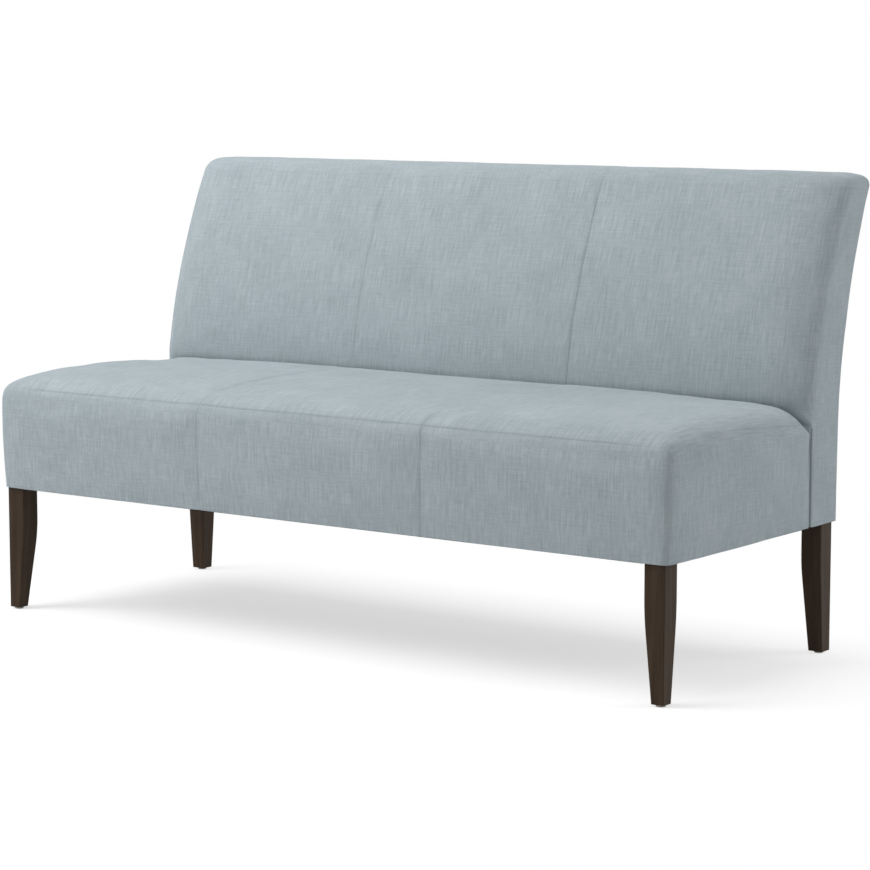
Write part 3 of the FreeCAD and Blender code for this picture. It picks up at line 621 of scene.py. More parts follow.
def eased(share):
    """From 0 to 1, level at both ends."""
    share = min(1.0, max(0.0, share))
    return share * share * (3 - 2 * share)


def soft_min(first, second, reach):
    """The lower of two heights, with the crease between them rounded."""
    near = max(0.0, reach - abs(first - second)) / reach
    return min(first, second) - near * near * reach / 4


def square_to_round(first, second):
    """Moves a point of a unit square's corner onto the quarter disc inside it."""
    reach = math.hypot(first, second)
    if reach == 0:
        return first, second
    scale = max(first, second) / reach
    return first * scale, second * scale


def round_corner(x, y, side, face, wide, deep):
    """Rounds the upright corners between the sides and a face; at a rear face deep is negative."""
    out_x = (abs(x) - (side - wide)) / wide
    out_y = (face + deep - y) / deep
    if out_x > 0 and out_y > 0:
        out_x, out_y = square_to_round(out_x, out_y)
        x = math.copysign(side - wide + wide * out_x, x)
        y = face + deep - deep * out_y
    return x, y


def alone(piece):
    """Selects one object and makes it active."""
    bpy.ops.object.select_all(action="DESELECT")
    piece.select_set(True)
    bpy.context.view_layer.objects.active = piece


def select_edges(piece, axis):
    """Selects the edges that run along an axis."""
    mostly = 0.9
    bpy.ops.mesh.select_all(action="DESELECT")
    edges = bmesh.from_edit_mesh(piece.data)
    for edge in edges.edges:
        run = edge.verts[1].co - edge.verts[0].co
        edge.select_set(abs(run[axis]) > mostly * run.length)
    bmesh.update_edit_mesh(piece.data)


def divided_box(name, low, high, cell, cuts):
    """A box cut into even cells, with more edge loops where the cuts say: an axis and a place."""
    thirds = 3
    bpy.ops.object.select_all(action="DESELECT")
    extent = high - low
    bpy.ops.mesh.primitive_cube_add(size=1, location=(low + high) / 2, scale=extent)
    piece = bpy.context.object
    piece.name = name
    piece.data.name = name
    bpy.ops.object.transform_apply(location=True, rotation=True, scale=True)
    bpy.ops.object.mode_set(mode="EDIT")
    bpy.ops.mesh.select_mode(type="EDGE")
    for axis in (X, Y, Z):
        # Thirds first and then cells, which keeps each step's number of cuts low.
        cells = max(2, round(extent[axis] / cell / thirds))
        for count in (thirds, cells):
            select_edges(piece, axis)
            bpy.ops.mesh.subdivide(number_cuts=count - 1)
    for axis, spot in cuts:
        across = [0.0, 0.0, 0.0]
        across[axis] = 1.0
        bpy.ops.mesh.select_all(action="SELECT")
        bpy.ops.mesh.bisect(plane_co=[spot * part for part in across], plane_no=across)
    bpy.ops.mesh.select_all(action="SELECT")
    bpy.ops.uv.cube_project(cube_size=1.0, correct_aspect=False)
    bpy.ops.object.mode_set(mode="OBJECT")
    return piece


def near_seam(distance, width):
    """From 1 on a seam to 0 away from it."""
    fall = 0.7 * width
    return math.exp(-((distance / fall) ** 2))


def keep_seams_and_painted_shade(piece, seams_and_painted_shade):
    """Keeps how strongly a seam shows at each point, with the painted shade of the crease and the
    fold, for the finish and the groove.
    """
    seam = piece.data.attributes.new("seam", "FLOAT", "POINT")
    for point, strength in zip(seam.data, seams_and_painted_shade):
        point.value = strength


def draw_in_seams(piece, depth):
    """Pulls the cover in along its seams, and by the painted shade of the crease and the fold."""
    seam = [point.value for point in piece.data.attributes["seam"].data]
    normals = [v.normal.copy() for v in piece.data.vertices]
    for vertex, near, normal in zip(piece.data.vertices, seam, normals):
        vertex.co -= normal * depth * near
    piece.data.update()


def inflate(piece, held, pressure, limit):
    """Swells the cover with air between the points that hold it, by cloth simulation."""
    frames = 20
    group = piece.vertex_groups.new(name="held")
    group.add(held, 1.0, "REPLACE")
    start = [v.co.copy() for v in piece.data.vertices]
    alone(piece)
    bpy.ops.object.modifier_add(type="CLOTH")
    cloth = piece.modifiers[-1]
    cloth.settings.quality = 6
    cloth.settings.tension_stiffness = 60
    cloth.settings.compression_stiffness = 60
    cloth.settings.shear_stiffness = 20
    cloth.settings.bending_stiffness = 4
    cloth.settings.use_pressure = True
    cloth.settings.uniform_pressure_force = pressure
    cloth.settings.vertex_group_mass = group.name
    cloth.settings.effector_weights.gravity = 0
    cloth.point_cache.frame_start = 1
    cloth.point_cache.frame_end = frames
    for step in range(1, frames + 1):
        bpy.context.scene.frame_set(step)
    bpy.ops.object.modifier_apply(modifier=cloth.name)
    bpy.context.scene.frame_set(1)
    piece.vertex_groups.clear()
    furthest = 0.0
    for vertex, before in zip(piece.data.vertices, start):
        move = vertex.co - before
        furthest = max(furthest, move.length)
        if move.length > limit:
            vertex.co = before + move * (limit / move.length)
    print(f"{piece.name} swelled by up to {1000 * furthest:.1f} mm")


def refine(piece):
    """One level of subdivision, applied, and smooth shading."""
    alone(piece)
    bpy.ops.object.modifier_add(type="SUBSURF")
    smooth = piece.modifiers[-1]
    smooth.levels = 1
    smooth.render_levels = 1
    smooth.uv_smooth = "NONE"
    bpy.ops.object.modifier_apply(modifier=smooth.name)
    bpy.ops.object.shade_smooth()


def settle(piece, amount):
    """Small unevenness of hand-laid padding: wide lumps, and close ones that show less."""
    wide, close, close_share = 9.0, 26.0, 0.4
    shift = Vector((7.0, 3.0, 5.0))
    normals = [v.normal.copy() for v in piece.data.vertices]
    for vertex, normal in zip(piece.data.vertices, normals):
        lump = noise.noise(vertex.co * wide)
        lump += close_share * noise.noise(vertex.co * close + shift)
        vertex.co += normal * amount * lump
    piece.data.update()


def cover_finish(context):
    """The finish of the cover, made once for both pads."""
    made = bpy.data.materials.get(COVER_FINISH)
    if made is None:
        made = cover_material(context.scene.banquette_sizes, context.scene.banquette_colours)
    return made


def dress(piece, nodes, material):
    """Puts a padded piece in place of its CAD nodes."""
    piece.data.materials.clear()
    piece.data.materials.append(material)
    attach(piece, "root")
    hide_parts(*nodes)


def finish_pad(context, piece, places, seams_and_painted_shade, held, nodes):
    """Moves a box's points onto the pad, draws in its seams, swells it and dresses it."""
    sizes = context.scene.banquette_sizes
    keep_seams_and_painted_shade(piece, seams_and_painted_shade)
    for vertex, place in zip(piece.data.vertices, places):
        vertex.co = place
    piece.data.update()
    draw_in_seams(piece, sizes.seam_depth)
    inflate(piece, held, sizes.pressure, sizes.swell_limit)
    refine(piece)
    settle(piece, sizes.unevenness)
    dress(piece, nodes, cover_finish(context))


class BANQUETTE_OT_seat_pad(bpy.types.Operator):
    """Padded seat with a crowned top, a boxing seam and two panel seams"""

    bl_idname = "banquette.seat_pad"
    bl_label = "Seat pad"

    # The seat goes in this far under the back's lower edge, with a turn of this reach.
    TUCK_UNDER = 0.002
    TUCK_TURN = 0.010
    # Share of the half width at which the rear starts to fall towards its ends.
    FALL_START = 0.5
    # Length over which the sides' swell fades towards the back, and the wave of the front's.
    SWELL_FADE = 0.25
    FRONT_WAVE = 0.75 * math.pi
    # How strongly the panel seams show, and the seam round the top.
    PANEL_RIGHT, PANEL_LEFT, PANEL_TOP = 0.75, 0.5, 0.45
    BOXING_FRONT, BOXING_SIDE, BOXING_CORNER = 0.55, 0.30, 0.08
    # Where a seam starts to fade, from the front, an end or a corner, and over what length.
    FADE_START, CORNER_FADE_START, FADE_LENGTH = 0.03, 0.04, 0.10
    # Half width of the painted shade in the side crease.
    CREASE_WIDTH = 0.004
    CREASE_LOOPS = (0.25, 0.6, 1.0, 1.4)

    def rolled(self, reach, room, along, across):
        """How far in and how high a point lies on a quarter ellipse, in even steps.

        Past the roll the points catch up, and from the end of the room on nothing moves.
        """
        length = math.pi / 2 * math.sqrt((along * along + across * across) / 2)
        if reach >= length:
            share = min(1.0, (reach - length) / (room - length))
            return reach - (length - along) * (1 - share), across
        turn = math.pi / 2 * reach / length
        return along * (1 - math.cos(turn)), across * math.sin(turn)

    def top_height(self, sizes, x, deep, back, drop):
        """Height of the top, which climbs behind the front edge and falls to its rear ends."""
        climb = (1 - min(1.0, deep / sizes.crown_reach)) ** 2
        outer = max(0.0, abs(x) / HALF_WIDTH - self.FALL_START) / (1 - self.FALL_START)
        height = CROWN_Z + sizes.crown_lift - drop - sizes.crown_slope * climb
        return height - sizes.end_fall * back * back * outer * outer

    def tucked_height(self, sizes, y, near_end):
        """Height at which the seat meets the inside back, lower near an end."""
        slope = (CROWN_Z - sizes.tuck_height) / (SPLIT_Y - sizes.inside_back)
        height = sizes.tuck_height - self.TUCK_UNDER + (SPLIT_Y - y) * slope
        return height - sizes.end_tuck * eased(near_end)

    def half_width(self, sizes, y, lift):
        """Half the seat's width, swelled towards the top and drawn in at the back's sides."""
        swell = sizes.hem_swell + sizes.side_swell * math.sin(math.pi / 2 * lift)
        width = HALF_WIDTH + swell * eased((SPLIT_Y - y) / self.SWELL_FADE)
        near_back = max(0.0, 1 - (SPLIT_Y - y) / sizes.side_crease)
        return width - sizes.side_crease * (1 - math.sqrt(1 - min(1.0, near_back) ** 2))

    def point(self, sizes, spot):
        """Where a point of the box lies on the seat."""
        length = SPLIT_Y - FRONT_Y
        lift = (spot.z - HEM_Z) / (SEAM_Z - HEM_Z)
        back = (spot.y - FRONT_Y) / length
        in_x, in_y = HALF_WIDTH - abs(spot.x), spot.y - FRONT_Y
        end_roll = mix(sizes.end_roll_front, sizes.end_roll_rear, back)
        end_drop = mix(sizes.end_drop_front, sizes.end_drop_rear, back)
        side, side_rise = self.rolled(in_x, HALF_WIDTH - SEAM_X, end_roll, end_drop)
        deep, front_rise = self.rolled(in_y, length, sizes.front_roll, sizes.front_drop)
        front_fall, side_fall = sizes.front_drop - front_rise, end_drop - side_rise
        drop = math.hypot(front_fall**2, side_fall**2) ** 0.5
        x = math.copysign(HALF_WIDTH - side, spot.x)
        y = FRONT_Y + deep
        top_z = self.top_height(sizes, x, deep, back, drop)
        tuck_z = self.tucked_height(sizes, y, 1 - side / end_roll)
        hem_z = HEM_Z
        if spot.z < HEM_Z + TOUCH and min(in_x, in_y) > sizes.hem_turn:
            hem_z = UNDERSIDE_Z
        z = mix(hem_z, soft_min(top_z, tuck_z, self.TUCK_TURN), lift)
        width = self.half_width(sizes, spot.y, lift)
        face = FRONT_Y + sizes.front_swell * (1 - math.sin(self.FRONT_WAVE * lift))
        x = x * width / HALF_WIDTH
        y = SPLIT_Y - (SPLIT_Y - y) * (SPLIT_Y - face) / length
        x, y = round_corner(x, y, width, face, sizes.seat_corner, sizes.seat_corner)
        return Vector((x, y, z))

    def panel_seam(self, spot):
        """How far a point of the box lies from a seam between panels."""
        on_top = spot.z > SEAM_Z - TOUCH
        on_front = spot.y < FRONT_Y + TOUCH
        return abs(abs(spot.x) - SEAM_X) if on_top or on_front else AWAY

    def panel_strength(self, spot):
        """The seams show most on the front and the right, and fade on the top."""
        behind = spot.y - FRONT_Y - self.FADE_START
        fading = mix(1.0, self.PANEL_TOP, eased(behind / self.FADE_LENGTH))
        return (self.PANEL_RIGHT if spot.x > 0 else self.PANEL_LEFT) * fading

    def boxing_seam(self, sizes, spot):
        """How far a point of the box lies from the seam that runs round the top."""
        on_top = spot.z > SEAM_Z - TOUCH
        ring = min(spot.y - FRONT_Y, HALF_WIDTH - abs(spot.x))
        return abs(ring - sizes.boxing_seam) if on_top else AWAY

    def boxing_strength(self, spot):
        """The seam shows along the front, less along the sides, and fades at the corners."""
        inside = HALF_WIDTH - abs(spot.x)
        behind = spot.y - FRONT_Y
        front = self.BOXING_FRONT * eased((inside - self.FADE_START) / self.FADE_LENGTH)
        side = self.BOXING_SIDE * eased((behind - self.CORNER_FADE_START) / self.FADE_LENGTH)
        return max(self.BOXING_CORNER, side if inside < self.FADE_START else front)

    def painted_crease_shade(self, spot):
        """Painted shade where the seat's sides meet the back's."""
        on_side = abs(spot.x) > HALF_WIDTH - TOUCH
        return PAINTED_CREASE_SHADE * near_seam(SPLIT_Y - spot.y, self.CREASE_WIDTH) if on_side else 0.0

    def loops(self, sizes):
        """Edge loops along the seams, the tuck, the side crease and the hem."""
        width = sizes.seam_width
        beside = (-width, 0.0, width)
        rim = HALF_WIDTH - sizes.boxing_seam
        loops = [(X, end * SEAM_X + side * width) for end in ENDS for side in ENDS]
        loops += [(X, end * (rim + step)) for end in ENDS for step in beside]
        loops += [(Y, FRONT_Y + sizes.boxing_seam + step) for step in beside]
        loops += [(Y, sizes.inside_back + step) for step in FOLD_LOOPS]
        loops += [(Y, SPLIT_Y - share * sizes.side_crease) for share in self.CREASE_LOOPS]
        return loops + [(Z, HEM_Z + width)]

    def execute(self, context):
        sizes = context.scene.banquette_sizes
        low = Vector((-HALF_WIDTH, FRONT_Y, HEM_Z))
        high = Vector((HALF_WIDTH, SPLIT_Y - PAD_GAP, SEAM_Z))
        piece = divided_box("seat_pad", low, high, sizes.cell, self.loops(sizes))
        places, seams_and_painted_shade, held = [], [], []
        for index, vertex in enumerate(piece.data.vertices):
            spot = vertex.co.copy()
            panel = near_seam(self.panel_seam(spot), sizes.seam_width)
            boxing = near_seam(self.boxing_seam(sizes, spot), sizes.seam_width)
            shown = self.panel_strength(spot) * panel
            round_top = self.boxing_strength(spot) * boxing
            places.append(self.point(sizes, spot))
            seams_and_painted_shade.append(max(shown, round_top, self.painted_crease_shade(spot)))
            on_edge = spot.z < HEM_Z + HELD_LOW or spot.y > SPLIT_Y - HELD_REAR
            if panel > HELD_SEAM or on_edge:
                held.append(index)
        finish_pad(context, piece, places, seams_and_painted_shade, held, SEAT_NODES)
        return {"FINISHED"}


class BANQUETTE_OT_back_pad(bpy.types.Operator):
    """Padded back with rounded front corners, a rolled top and two panel seams"""

    bl_idname = "banquette.back_pad"
    bl_label = "Back pad"

    # Depth of the box that the back is shaped from.
    DEPTH = 0.14
    # Lengths of the top's end roll that its shortening is spread over.
    TOP_SPREAD = 4
    # Share of the top roll below the top at which the rear face stops leaning.
    REAR_STOP = 0.6
    # How strongly the inside seams show.
    SEAM_RIGHT, SEAM_LEFT, SEAM_TOP = 0.9, 0.5, 0.4
    # How far below the top they start to fade, and over what length, both in top rolls.
    FADE_BELOW, FADE_LENGTH = 3, 2
    # How strongly the outside back's seams show, and how far they run past their corners.
    REAR_SEAM, SEAM_PAST = 1.0, 0.004
    # Half width of the painted shade in the side crease.
    CREASE_WIDTH = 0.008
    # Depth of the painted shade low on the inside back, its start above the tuck and its height.
    FOLD_SHADE, FOLD_START, FOLD_HEIGHT = 0.36, 0.02, 0.12
    EDGE_LOOPS = (0.003, 0.006, 0.009)

    def rear(self, sizes, z):
        """Place of the rear face, upright below and then a curve that leans back."""
        rise = TOP_Z - sizes.top_roll - sizes.bend_height
        run = REAR_Y - BASE_REAR_Y
        radius = (rise * rise + run * run) / (2 * run)
        climb = max(0.0, z - sizes.bend_height)
        return BASE_REAR_Y + radius - math.sqrt(radius * radius - climb * climb)

    def front(self, sizes, z):
        """Place of the front face: behind the seat, out of the tuck, then up the inside back."""
        roll_z = TOP_Z - sizes.top_roll
        if z <= sizes.tuck_height:
            return SPLIT_Y + PAD_GAP
        if z < CROWN_Z:
            share = (z - sizes.tuck_height) / (CROWN_Z - sizes.tuck_height)
            return mix(SPLIT_Y + PAD_GAP, sizes.inside_back, share)
        share = min(1.0, (z - CROWN_Z) / (roll_z - CROWN_Z))
        thick = mix(self.rear(sizes, CROWN_Z) - sizes.inside_back, sizes.back_top, share)
        return self.rear(sizes, z) - thick

    def over_top(self, sizes, spot):
        """A point of the box, moved onto the roll round the box's top."""
        x, y, z = spot
        roll = sizes.top_roll
        stretch = sizes.top_end / roll
        edge = min((HALF_WIDTH - abs(x)) / stretch, y, self.DEPTH - y)
        out = max(0.0, 1 - edge / roll)
        up = max(0.0, (z - (TOP_Z - roll)) / roll)
        if out > 0 and up > 0:
            out, up = square_to_round(out, up)
            inset = roll * (1 - out)
            still = HALF_WIDTH - self.TOP_SPREAD * sizes.top_end
            if abs(x) > still:
                now, before = HALF_WIDTH - inset * stretch, HALF_WIDTH - edge * stretch
                shrink = (now - still) / (before - still)
                x = math.copysign(still + (abs(x) - still) * shrink, x)
            half = self.DEPTH / 2
            y = half + (y - half) * (half - inset) / (half - edge)
            z = TOP_Z - roll + roll * up
        return x, y, z

    def point(self, sizes, spot):
        """Where a point of the box lies on the back."""
        x, y, z = self.over_top(sizes, spot)
        front = self.front(sizes, z)
        rear = self.rear(sizes, min(z, TOP_Z - self.REAR_STOP * sizes.top_roll))
        share = eased((z - sizes.tuck_height) / (CROWN_Z - sizes.tuck_height))
        wide = mix(sizes.side_crease, sizes.back_corner_x, share)
        deep = mix(sizes.side_crease, sizes.back_corner_y, share)
        inner = min(HALF_WIDTH - abs(spot.x), self.DEPTH - spot.y)
        if spot.z < HEM_Z + TOUCH and inner > sizes.hem_turn:
            z = UNDERSIDE_Z
        y = front + (rear - front) * y / self.DEPTH
        x, y = round_corner(x, y, HALF_WIDTH, front, wide, deep)
        x, y = round_corner(x, y, HALF_WIDTH, rear, sizes.rear_corner, -sizes.rear_corner)
        return Vector((x, y, z))

    def seam_distance(self, sizes, spot):
        """How far a point of the box lies from the inside back's seams or the outside back's."""
        x, y, z = spot
        on_top = z > TOP_Z - TOUCH
        on_front = y < TOUCH
        on_rear = y > self.DEPTH - TOUCH
        away = [AWAY]
        if (on_top or on_front) and z > sizes.tuck_height:
            away.append(abs(abs(x) - SEAM_X))
        if on_rear:
            rim = HALF_WIDTH - sizes.rear_corner
            roll_z = TOP_Z - sizes.top_roll
            if z < roll_z + self.SEAM_PAST:
                away.append(abs(abs(x) - rim))
            if abs(x) < rim + self.SEAM_PAST:
                away.append(abs(z - roll_z))
        return min(away)

    def seam_strength(self, sizes, spot):
        """The inside seams fade over the top, and the left one is drawn less tight."""
        if spot.y > self.DEPTH - TOUCH:
            return self.REAR_SEAM
        above = spot.z - TOP_Z + self.FADE_BELOW * sizes.top_roll
        fading = mix(1.0, self.SEAM_TOP, eased(above / (self.FADE_LENGTH * sizes.top_roll)))
        return (self.SEAM_RIGHT if spot.x > 0 else self.SEAM_LEFT) * fading

    def painted_crease_shade(self, sizes, spot):
        """Painted shade where the back's sides meet the seat's."""
        on_side = abs(spot.x) > HALF_WIDTH - TOUCH and spot.z < sizes.tuck_height
        return PAINTED_CREASE_SHADE * near_seam(spot.y, self.CREASE_WIDTH) if on_side else 0.0

    def painted_fold_shade(self, sizes, spot):
        """Painted shade low on the inside back, where it folds down behind the seat."""
        on_front = spot.y < TOUCH and spot.z > sizes.tuck_height
        above = spot.z - sizes.tuck_height - self.FOLD_START
        return self.FOLD_SHADE * (1 - eased(above / self.FOLD_HEIGHT)) if on_front else 0.0

    def loops(self, sizes):
        """Edge loops along the seams, the corners, the top roll, the tuck and the hem."""
        near = self.EDGE_LOOPS
        close = near[0]
        rim = HALF_WIDTH - sizes.rear_corner
        roll_z = TOP_Z - sizes.top_roll
        loops = [(X, end * SEAM_X + side * sizes.seam_width) for end in ENDS for side in ENDS]
        loops += [(X, end * (HALF_WIDTH - step)) for end in ENDS for step in near]
        loops += [(X, end * (rim + step)) for end in ENDS for step in (-close, 0.0)]
        loops += [(Y, step) for step in near[:2]]
        loops += [(Y, self.DEPTH - step) for step in near]
        loops += [(Z, roll_z + step) for step in (-close, 0.0, close)]
        loops += [(Z, TOP_Z - step) for step in near[:2]]
        loops += [(Z, sizes.tuck_height + step) for step in FOLD_LOOPS]
        return loops + [(Z, HEM_Z + close)]

    def execute(self, context):
        sizes = context.scene.banquette_sizes
        low = Vector((-HALF_WIDTH, 0.0, HEM_Z))
        high = Vector((HALF_WIDTH, self.DEPTH, TOP_Z))
        piece = divided_box("back_pad", low, high, sizes.cell, self.loops(sizes))
        places, seams_and_painted_shade, held = [], [], []
        for index, vertex in enumerate(piece.data.vertices):
            spot = vertex.co.copy()
            seam = near_seam(self.seam_distance(sizes, spot), sizes.seam_width)
            shown = self.seam_strength(sizes, spot) * seam
            places.append(self.point(sizes, spot))
            seams_and_painted_shade.append(max(shown, self.painted_crease_shade(sizes, spot), self.painted_fold_shade(sizes, spot)))
            low_edge = spot.z < sizes.tuck_height + HELD_LOW
            if seam > HELD_SEAM or low_edge or spot.y > self.DEPTH - HELD_REAR:
                held.append(index)
        finish_pad(context, piece, places, seams_and_painted_shade, held, BACK_NODES)
        return {"FINISHED"}


class BANQUETTE_OT_legs(bpy.types.Operator):
    """Dark stained legs and their glides"""

    bl_idname = "banquette.legs"
    bl_label = "Legs"

    ROUGH, SHINE = 0.45, 0.10

    def execute(self, context):
        colours = context.scene.banquette_colours
        light, dark = colours.leg_light, colours.leg_dark
        legs = [f"{end}_{side}_leg" for end in ("front", "rear") for side in SIDES]
        coat(legs, wood_material("leg_wood", light, dark, Z, self.ROUGH, self.SHINE))
        coat(["leg_glides"], plastic_material())
        return {"FINISHED"}


class BANQUETTE_OT_inner_frame(bpy.types.Operator):
    """Frame wood, webbing, cloths, board and screws inside the padding"""

    bl_idname = "banquette.inner_frame"
    bl_label = "Inner frame"

    FRAME_ROUGH, DOWEL_ROUGH, SHINE = 0.7, 0.65, 0.3
    DOWEL_LIGHT, DOWEL_DARK = (0.70, 0.55, 0.36), (0.52, 0.37, 0.21)
    # Pale and dark tones of each cloth and the board, their threads in a metre and roughness.
    WEBBING = ((0.50, 0.38, 0.22), (0.30, 0.20, 0.10), 700.0)
    DECK_CLOTH = ((0.62, 0.58, 0.50), (0.46, 0.42, 0.35), 900.0)
    DUST_CLOTH = ((0.020, 0.020, 0.022), (0.008, 0.008, 0.009), 600.0)
    BOARD = ((0.42, 0.33, 0.23), (0.27, 0.20, 0.13), 350.0, 0.85)

    def frame_wood(self, colours, name, axis):
        light, dark = colours.frame_light, colours.frame_dark
        return wood_material(name, light, dark, axis, self.FRAME_ROUGH, self.SHINE)

    def dowel_wood(self):
        light, dark = self.DOWEL_LIGHT, self.DOWEL_DARK
        return wood_material("dowel_wood", light, dark, X, self.DOWEL_ROUGH, self.SHINE)

    def execute(self, context):
        colours = context.scene.banquette_colours
        long_rails = ["front_seat_rail", "rear_seat_rail", "back_top_rail", "back_lower_rail"]
        blocks = [f"{end}_{side}_corner_block" for end in ("front", "rear") for side in SIDES]
        deep_rails = [f"{side}_seat_{part}" for side in SIDES for part in ("rail", "stretcher")]
        uprights = [f"{side}_back_upright" for side in SIDES]
        webbing = ["seat_webbing_crosswise", "seat_webbing_lengthwise", "back_webbing"]
        board = ["outside_back_board", "outside_back_tack_strip"]
        coat(long_rails + blocks, self.frame_wood(colours, "frame_wood_long", X))
        coat(deep_rails, self.frame_wood(colours, "frame_wood_deep", Y))
        coat(uprights, self.frame_wood(colours, "frame_wood_upright", Z))
        coat(["frame_dowels"], self.dowel_wood())
        coat(webbing, cloth_material("webbing", *self.WEBBING))
        coat(["seat_deck_cloth"], cloth_material("deck_cloth", *self.DECK_CLOTH))
        coat(["dust_cover"], cloth_material("dust_cloth", *self.DUST_CLOTH))
        coat(board, cloth_material("board", *self.BOARD))
        coat(["corner_block_screws"], steel_material())
        return {"FINISHED"}


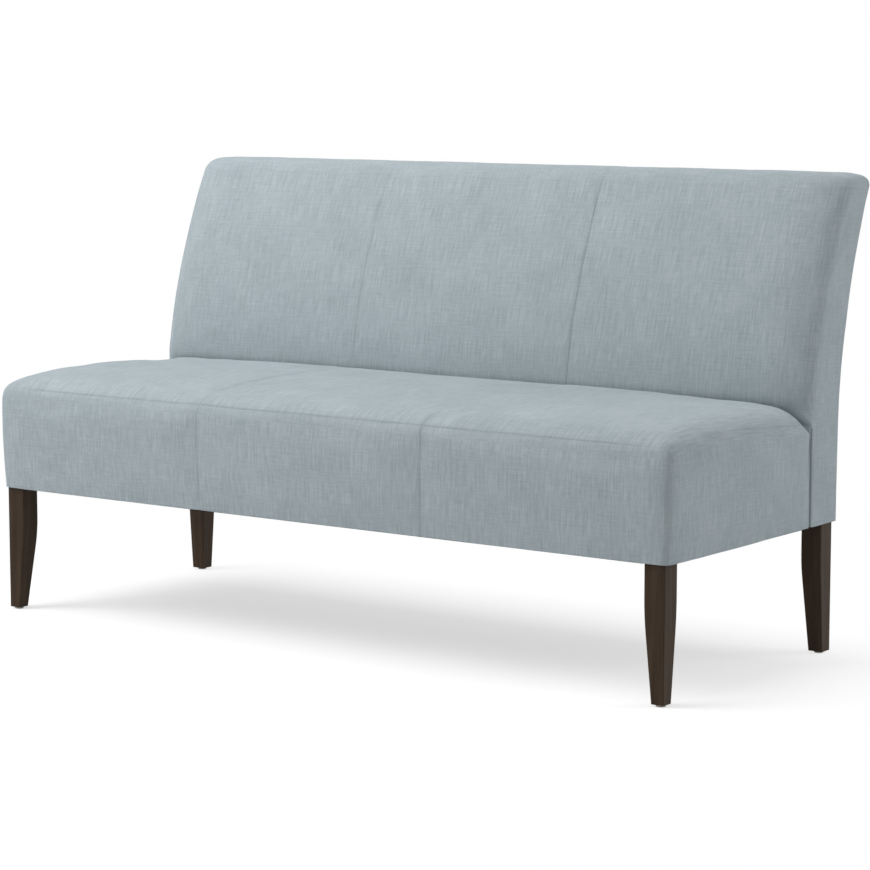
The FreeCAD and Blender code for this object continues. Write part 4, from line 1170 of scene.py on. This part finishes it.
class BANQUETTE_OT_stage(bpy.types.Operator):
    """Pale floor, soft lights, camera and view"""

    bl_idname = "banquette.stage"
    bl_label = "Stage"

    CAMERA_PLACE = (3.3546, -4.5454, 1.1164)
    CAMERA_TILT = math.radians(90 - 7.427)
    CAMERA_TURN = math.radians(36.126)
    CAMERA_LENS = 119.83
    CAMERA_SENSOR = 36.0
    # Name, place, target, size and power of each lamp.
    LAMPS = (
        ("key", (-2.4, -2.4, 3.4), (0, 0, 0.5), (2.2, 2.2), 98),
        ("top", (-0.6, -0.4, 3.4), (-0.2, -0.1, 0.5), (3.0, 2.0), 36),
        ("fill", (3.3, 2.1, 1.8), (0.4, 0.1, 0.5), (2.2, 2.2), 38),
    )
    WHITE = (1, 1, 1, 1)
    WORLD_LIGHT = 0.35
    FLOOR_SIZE = 30
    # What the camera sees of the floor: the light it gives back, and a glow that lifts it to white.
    FLOOR_SEEN = (0.62, 0.62, 0.62, 1.0)
    FLOOR_GLOW = 0.585
    # Where the floor turns plain white: away from the middle, and beside and behind the seat, where
    # the white is painted light over the shadow that the lamps cast there.
    WHITE_AWAY = (1.3, 2.6)
    PAINTED_WHITE_BESIDE = (0.78, 1.10)
    PAINTED_WHITE_BEHIND = (0.10, 0.42)

    def light(self, name, place, target, size, power):
        """A soft rectangular lamp, turned towards its target."""
        lamp = bpy.data.lights.new(name, "AREA")
        lamp.shape = "RECTANGLE"
        lamp.size, lamp.size_y = size
        lamp.energy = power
        rig = bpy.data.objects.new(name, lamp)
        rig.location = place
        rig.rotation_euler = (Vector(target) - Vector(place)).to_track_quat("-Z", "Y").to_euler()
        bpy.context.scene.collection.objects.link(rig)

    def fade(self, tree, value, span):
        """From 0 at the start of a span to 1 at its end."""
        inputs = {"Value": value, "From Min": span[0], "From Max": span[1]}
        return tree.node("ShaderNodeMapRange", None, inputs)

    def floor_material(self, colour):
        """A matt floor that looks white to the camera; the lamps' shadow shows under the seat, and
        beside and behind it painted light hides the shadow.
        """
        material, tree = new_material("studio_floor")
        place = object_place(tree)
        away = tree.node("ShaderNodeVectorMath", {"operation": "LENGTH"}, {0: place}, "Value")
        parts = tree.node("ShaderNodeSeparateXYZ", None, {"Vector": place})
        across, along = parts.outputs("X", "Y")
        # Painted light: beside and behind the seat the floor turns plain white over the lamps'
        # shadow.
        beside = self.fade(tree, tree.math("ABSOLUTE", across), self.PAINTED_WHITE_BESIDE)
        behind = self.fade(tree, along, self.PAINTED_WHITE_BEHIND)
        edge = self.fade(tree, away, self.WHITE_AWAY)
        edge = tree.math("MAXIMUM", edge, tree.math("MAXIMUM", beside, behind))
        matt = tree.node("ShaderNodeBsdfDiffuse", None, {"Color": opaque(colour)})
        dim = tree.node("ShaderNodeBsdfDiffuse", None, {"Color": self.FLOOR_SEEN})
        glow = {"Color": self.WHITE, "Strength": self.FLOOR_GLOW}
        lifted = tree.node("ShaderNodeEmission", None, glow)
        near = tree.node("ShaderNodeAddShader", None, {0: dim, 1: lifted})
        far = tree.node("ShaderNodeEmission", None, {"Color": self.WHITE, "Strength": 1.0})
        white = tree.node("ShaderNodeMixShader", None, {0: edge, 1: near, 2: far})
        seen = seen_directly(tree)
        surface = tree.node("ShaderNodeMixShader", None, {0: seen, 1: matt, 2: white})
        tree.node("ShaderNodeOutputMaterial", None, {"Surface": surface})
        return material

    def white_world(self, context):
        """White to the camera and to reflections, and a plain soft light otherwise."""
        world = bpy.data.worlds.new("studio")
        world.use_nodes = True
        world.node_tree.nodes.clear()
        tree = Shade(world.node_tree)
        power = seen_directly(tree) * (1 - self.WORLD_LIGHT) + self.WORLD_LIGHT
        light = tree.node("ShaderNodeBackground", None, {"Color": self.WHITE, "Strength": power})
        tree.node("ShaderNodeOutputWorld", None, {"Surface": light})
        context.scene.world = world

    def execute(self, context):
        bpy.ops.object.select_all(action="DESELECT")
        bpy.ops.mesh.primitive_plane_add(size=self.FLOOR_SIZE, location=(0, 0, 0))
        floor = context.object
        floor.name = "studio_floor"
        floor.data.materials.append(self.floor_material(context.scene.banquette_colours.floor))
        self.white_world(context)
        for lamp in self.LAMPS:
            self.light(*lamp)
        camera = bpy.data.cameras.new("photo_camera")
        camera.lens = self.CAMERA_LENS
        camera.sensor_width = self.CAMERA_SENSOR
        rig = bpy.data.objects.new("photo_camera", camera)
        rig.location = self.CAMERA_PLACE
        rig.rotation_euler = (self.CAMERA_TILT, 0, self.CAMERA_TURN)
        context.scene.collection.objects.link(rig)
        context.scene.camera = rig
        context.scene.view_settings.view_transform = "Standard"
        return {"FINISHED"}


OPERATORS = (
    BANQUETTE_OT_seat_pad,
    BANQUETTE_OT_back_pad,
    BANQUETTE_OT_legs,
    BANQUETTE_OT_inner_frame,
    BANQUETTE_OT_stage,
)


class BANQUETTE_PT_panel(bpy.types.Panel):
    """Pieces, sizes and colours of the banquette"""

    bl_idname = "BANQUETTE_PT_panel"
    bl_label = "Banquette"
    bl_space_type = "VIEW_3D"
    bl_region_type = "UI"
    bl_category = "Banquette"

    def draw(self, context):
        for operator in OPERATORS:
            self.layout.operator(operator.bl_idname)
        for group in (context.scene.banquette_sizes, context.scene.banquette_colours):
            for name in group.bl_rna.properties.keys():
                if name not in ("rna_type", "name"):
                    self.layout.prop(group, name)


CLASSES = (BanquetteSizes, BanquetteColours, *OPERATORS, BANQUETTE_PT_panel)


def register():
    for item in CLASSES:
        bpy.utils.register_class(item)
    bpy.types.Scene.banquette_sizes = PointerProperty(type=BanquetteSizes)
    bpy.types.Scene.banquette_colours = PointerProperty(type=BanquetteColours)


def unregister():
    del bpy.types.Scene.banquette_colours
    del bpy.types.Scene.banquette_sizes
    for item in reversed(CLASSES):
        bpy.utils.unregister_class(item)


def main():
    register()
    bpy.ops.banquette.seat_pad()
    bpy.ops.banquette.back_pad()
    bpy.ops.banquette.legs()
    bpy.ops.banquette.inner_frame()
    bpy.ops.banquette.stage()


if __name__ == "__main__":
    main()
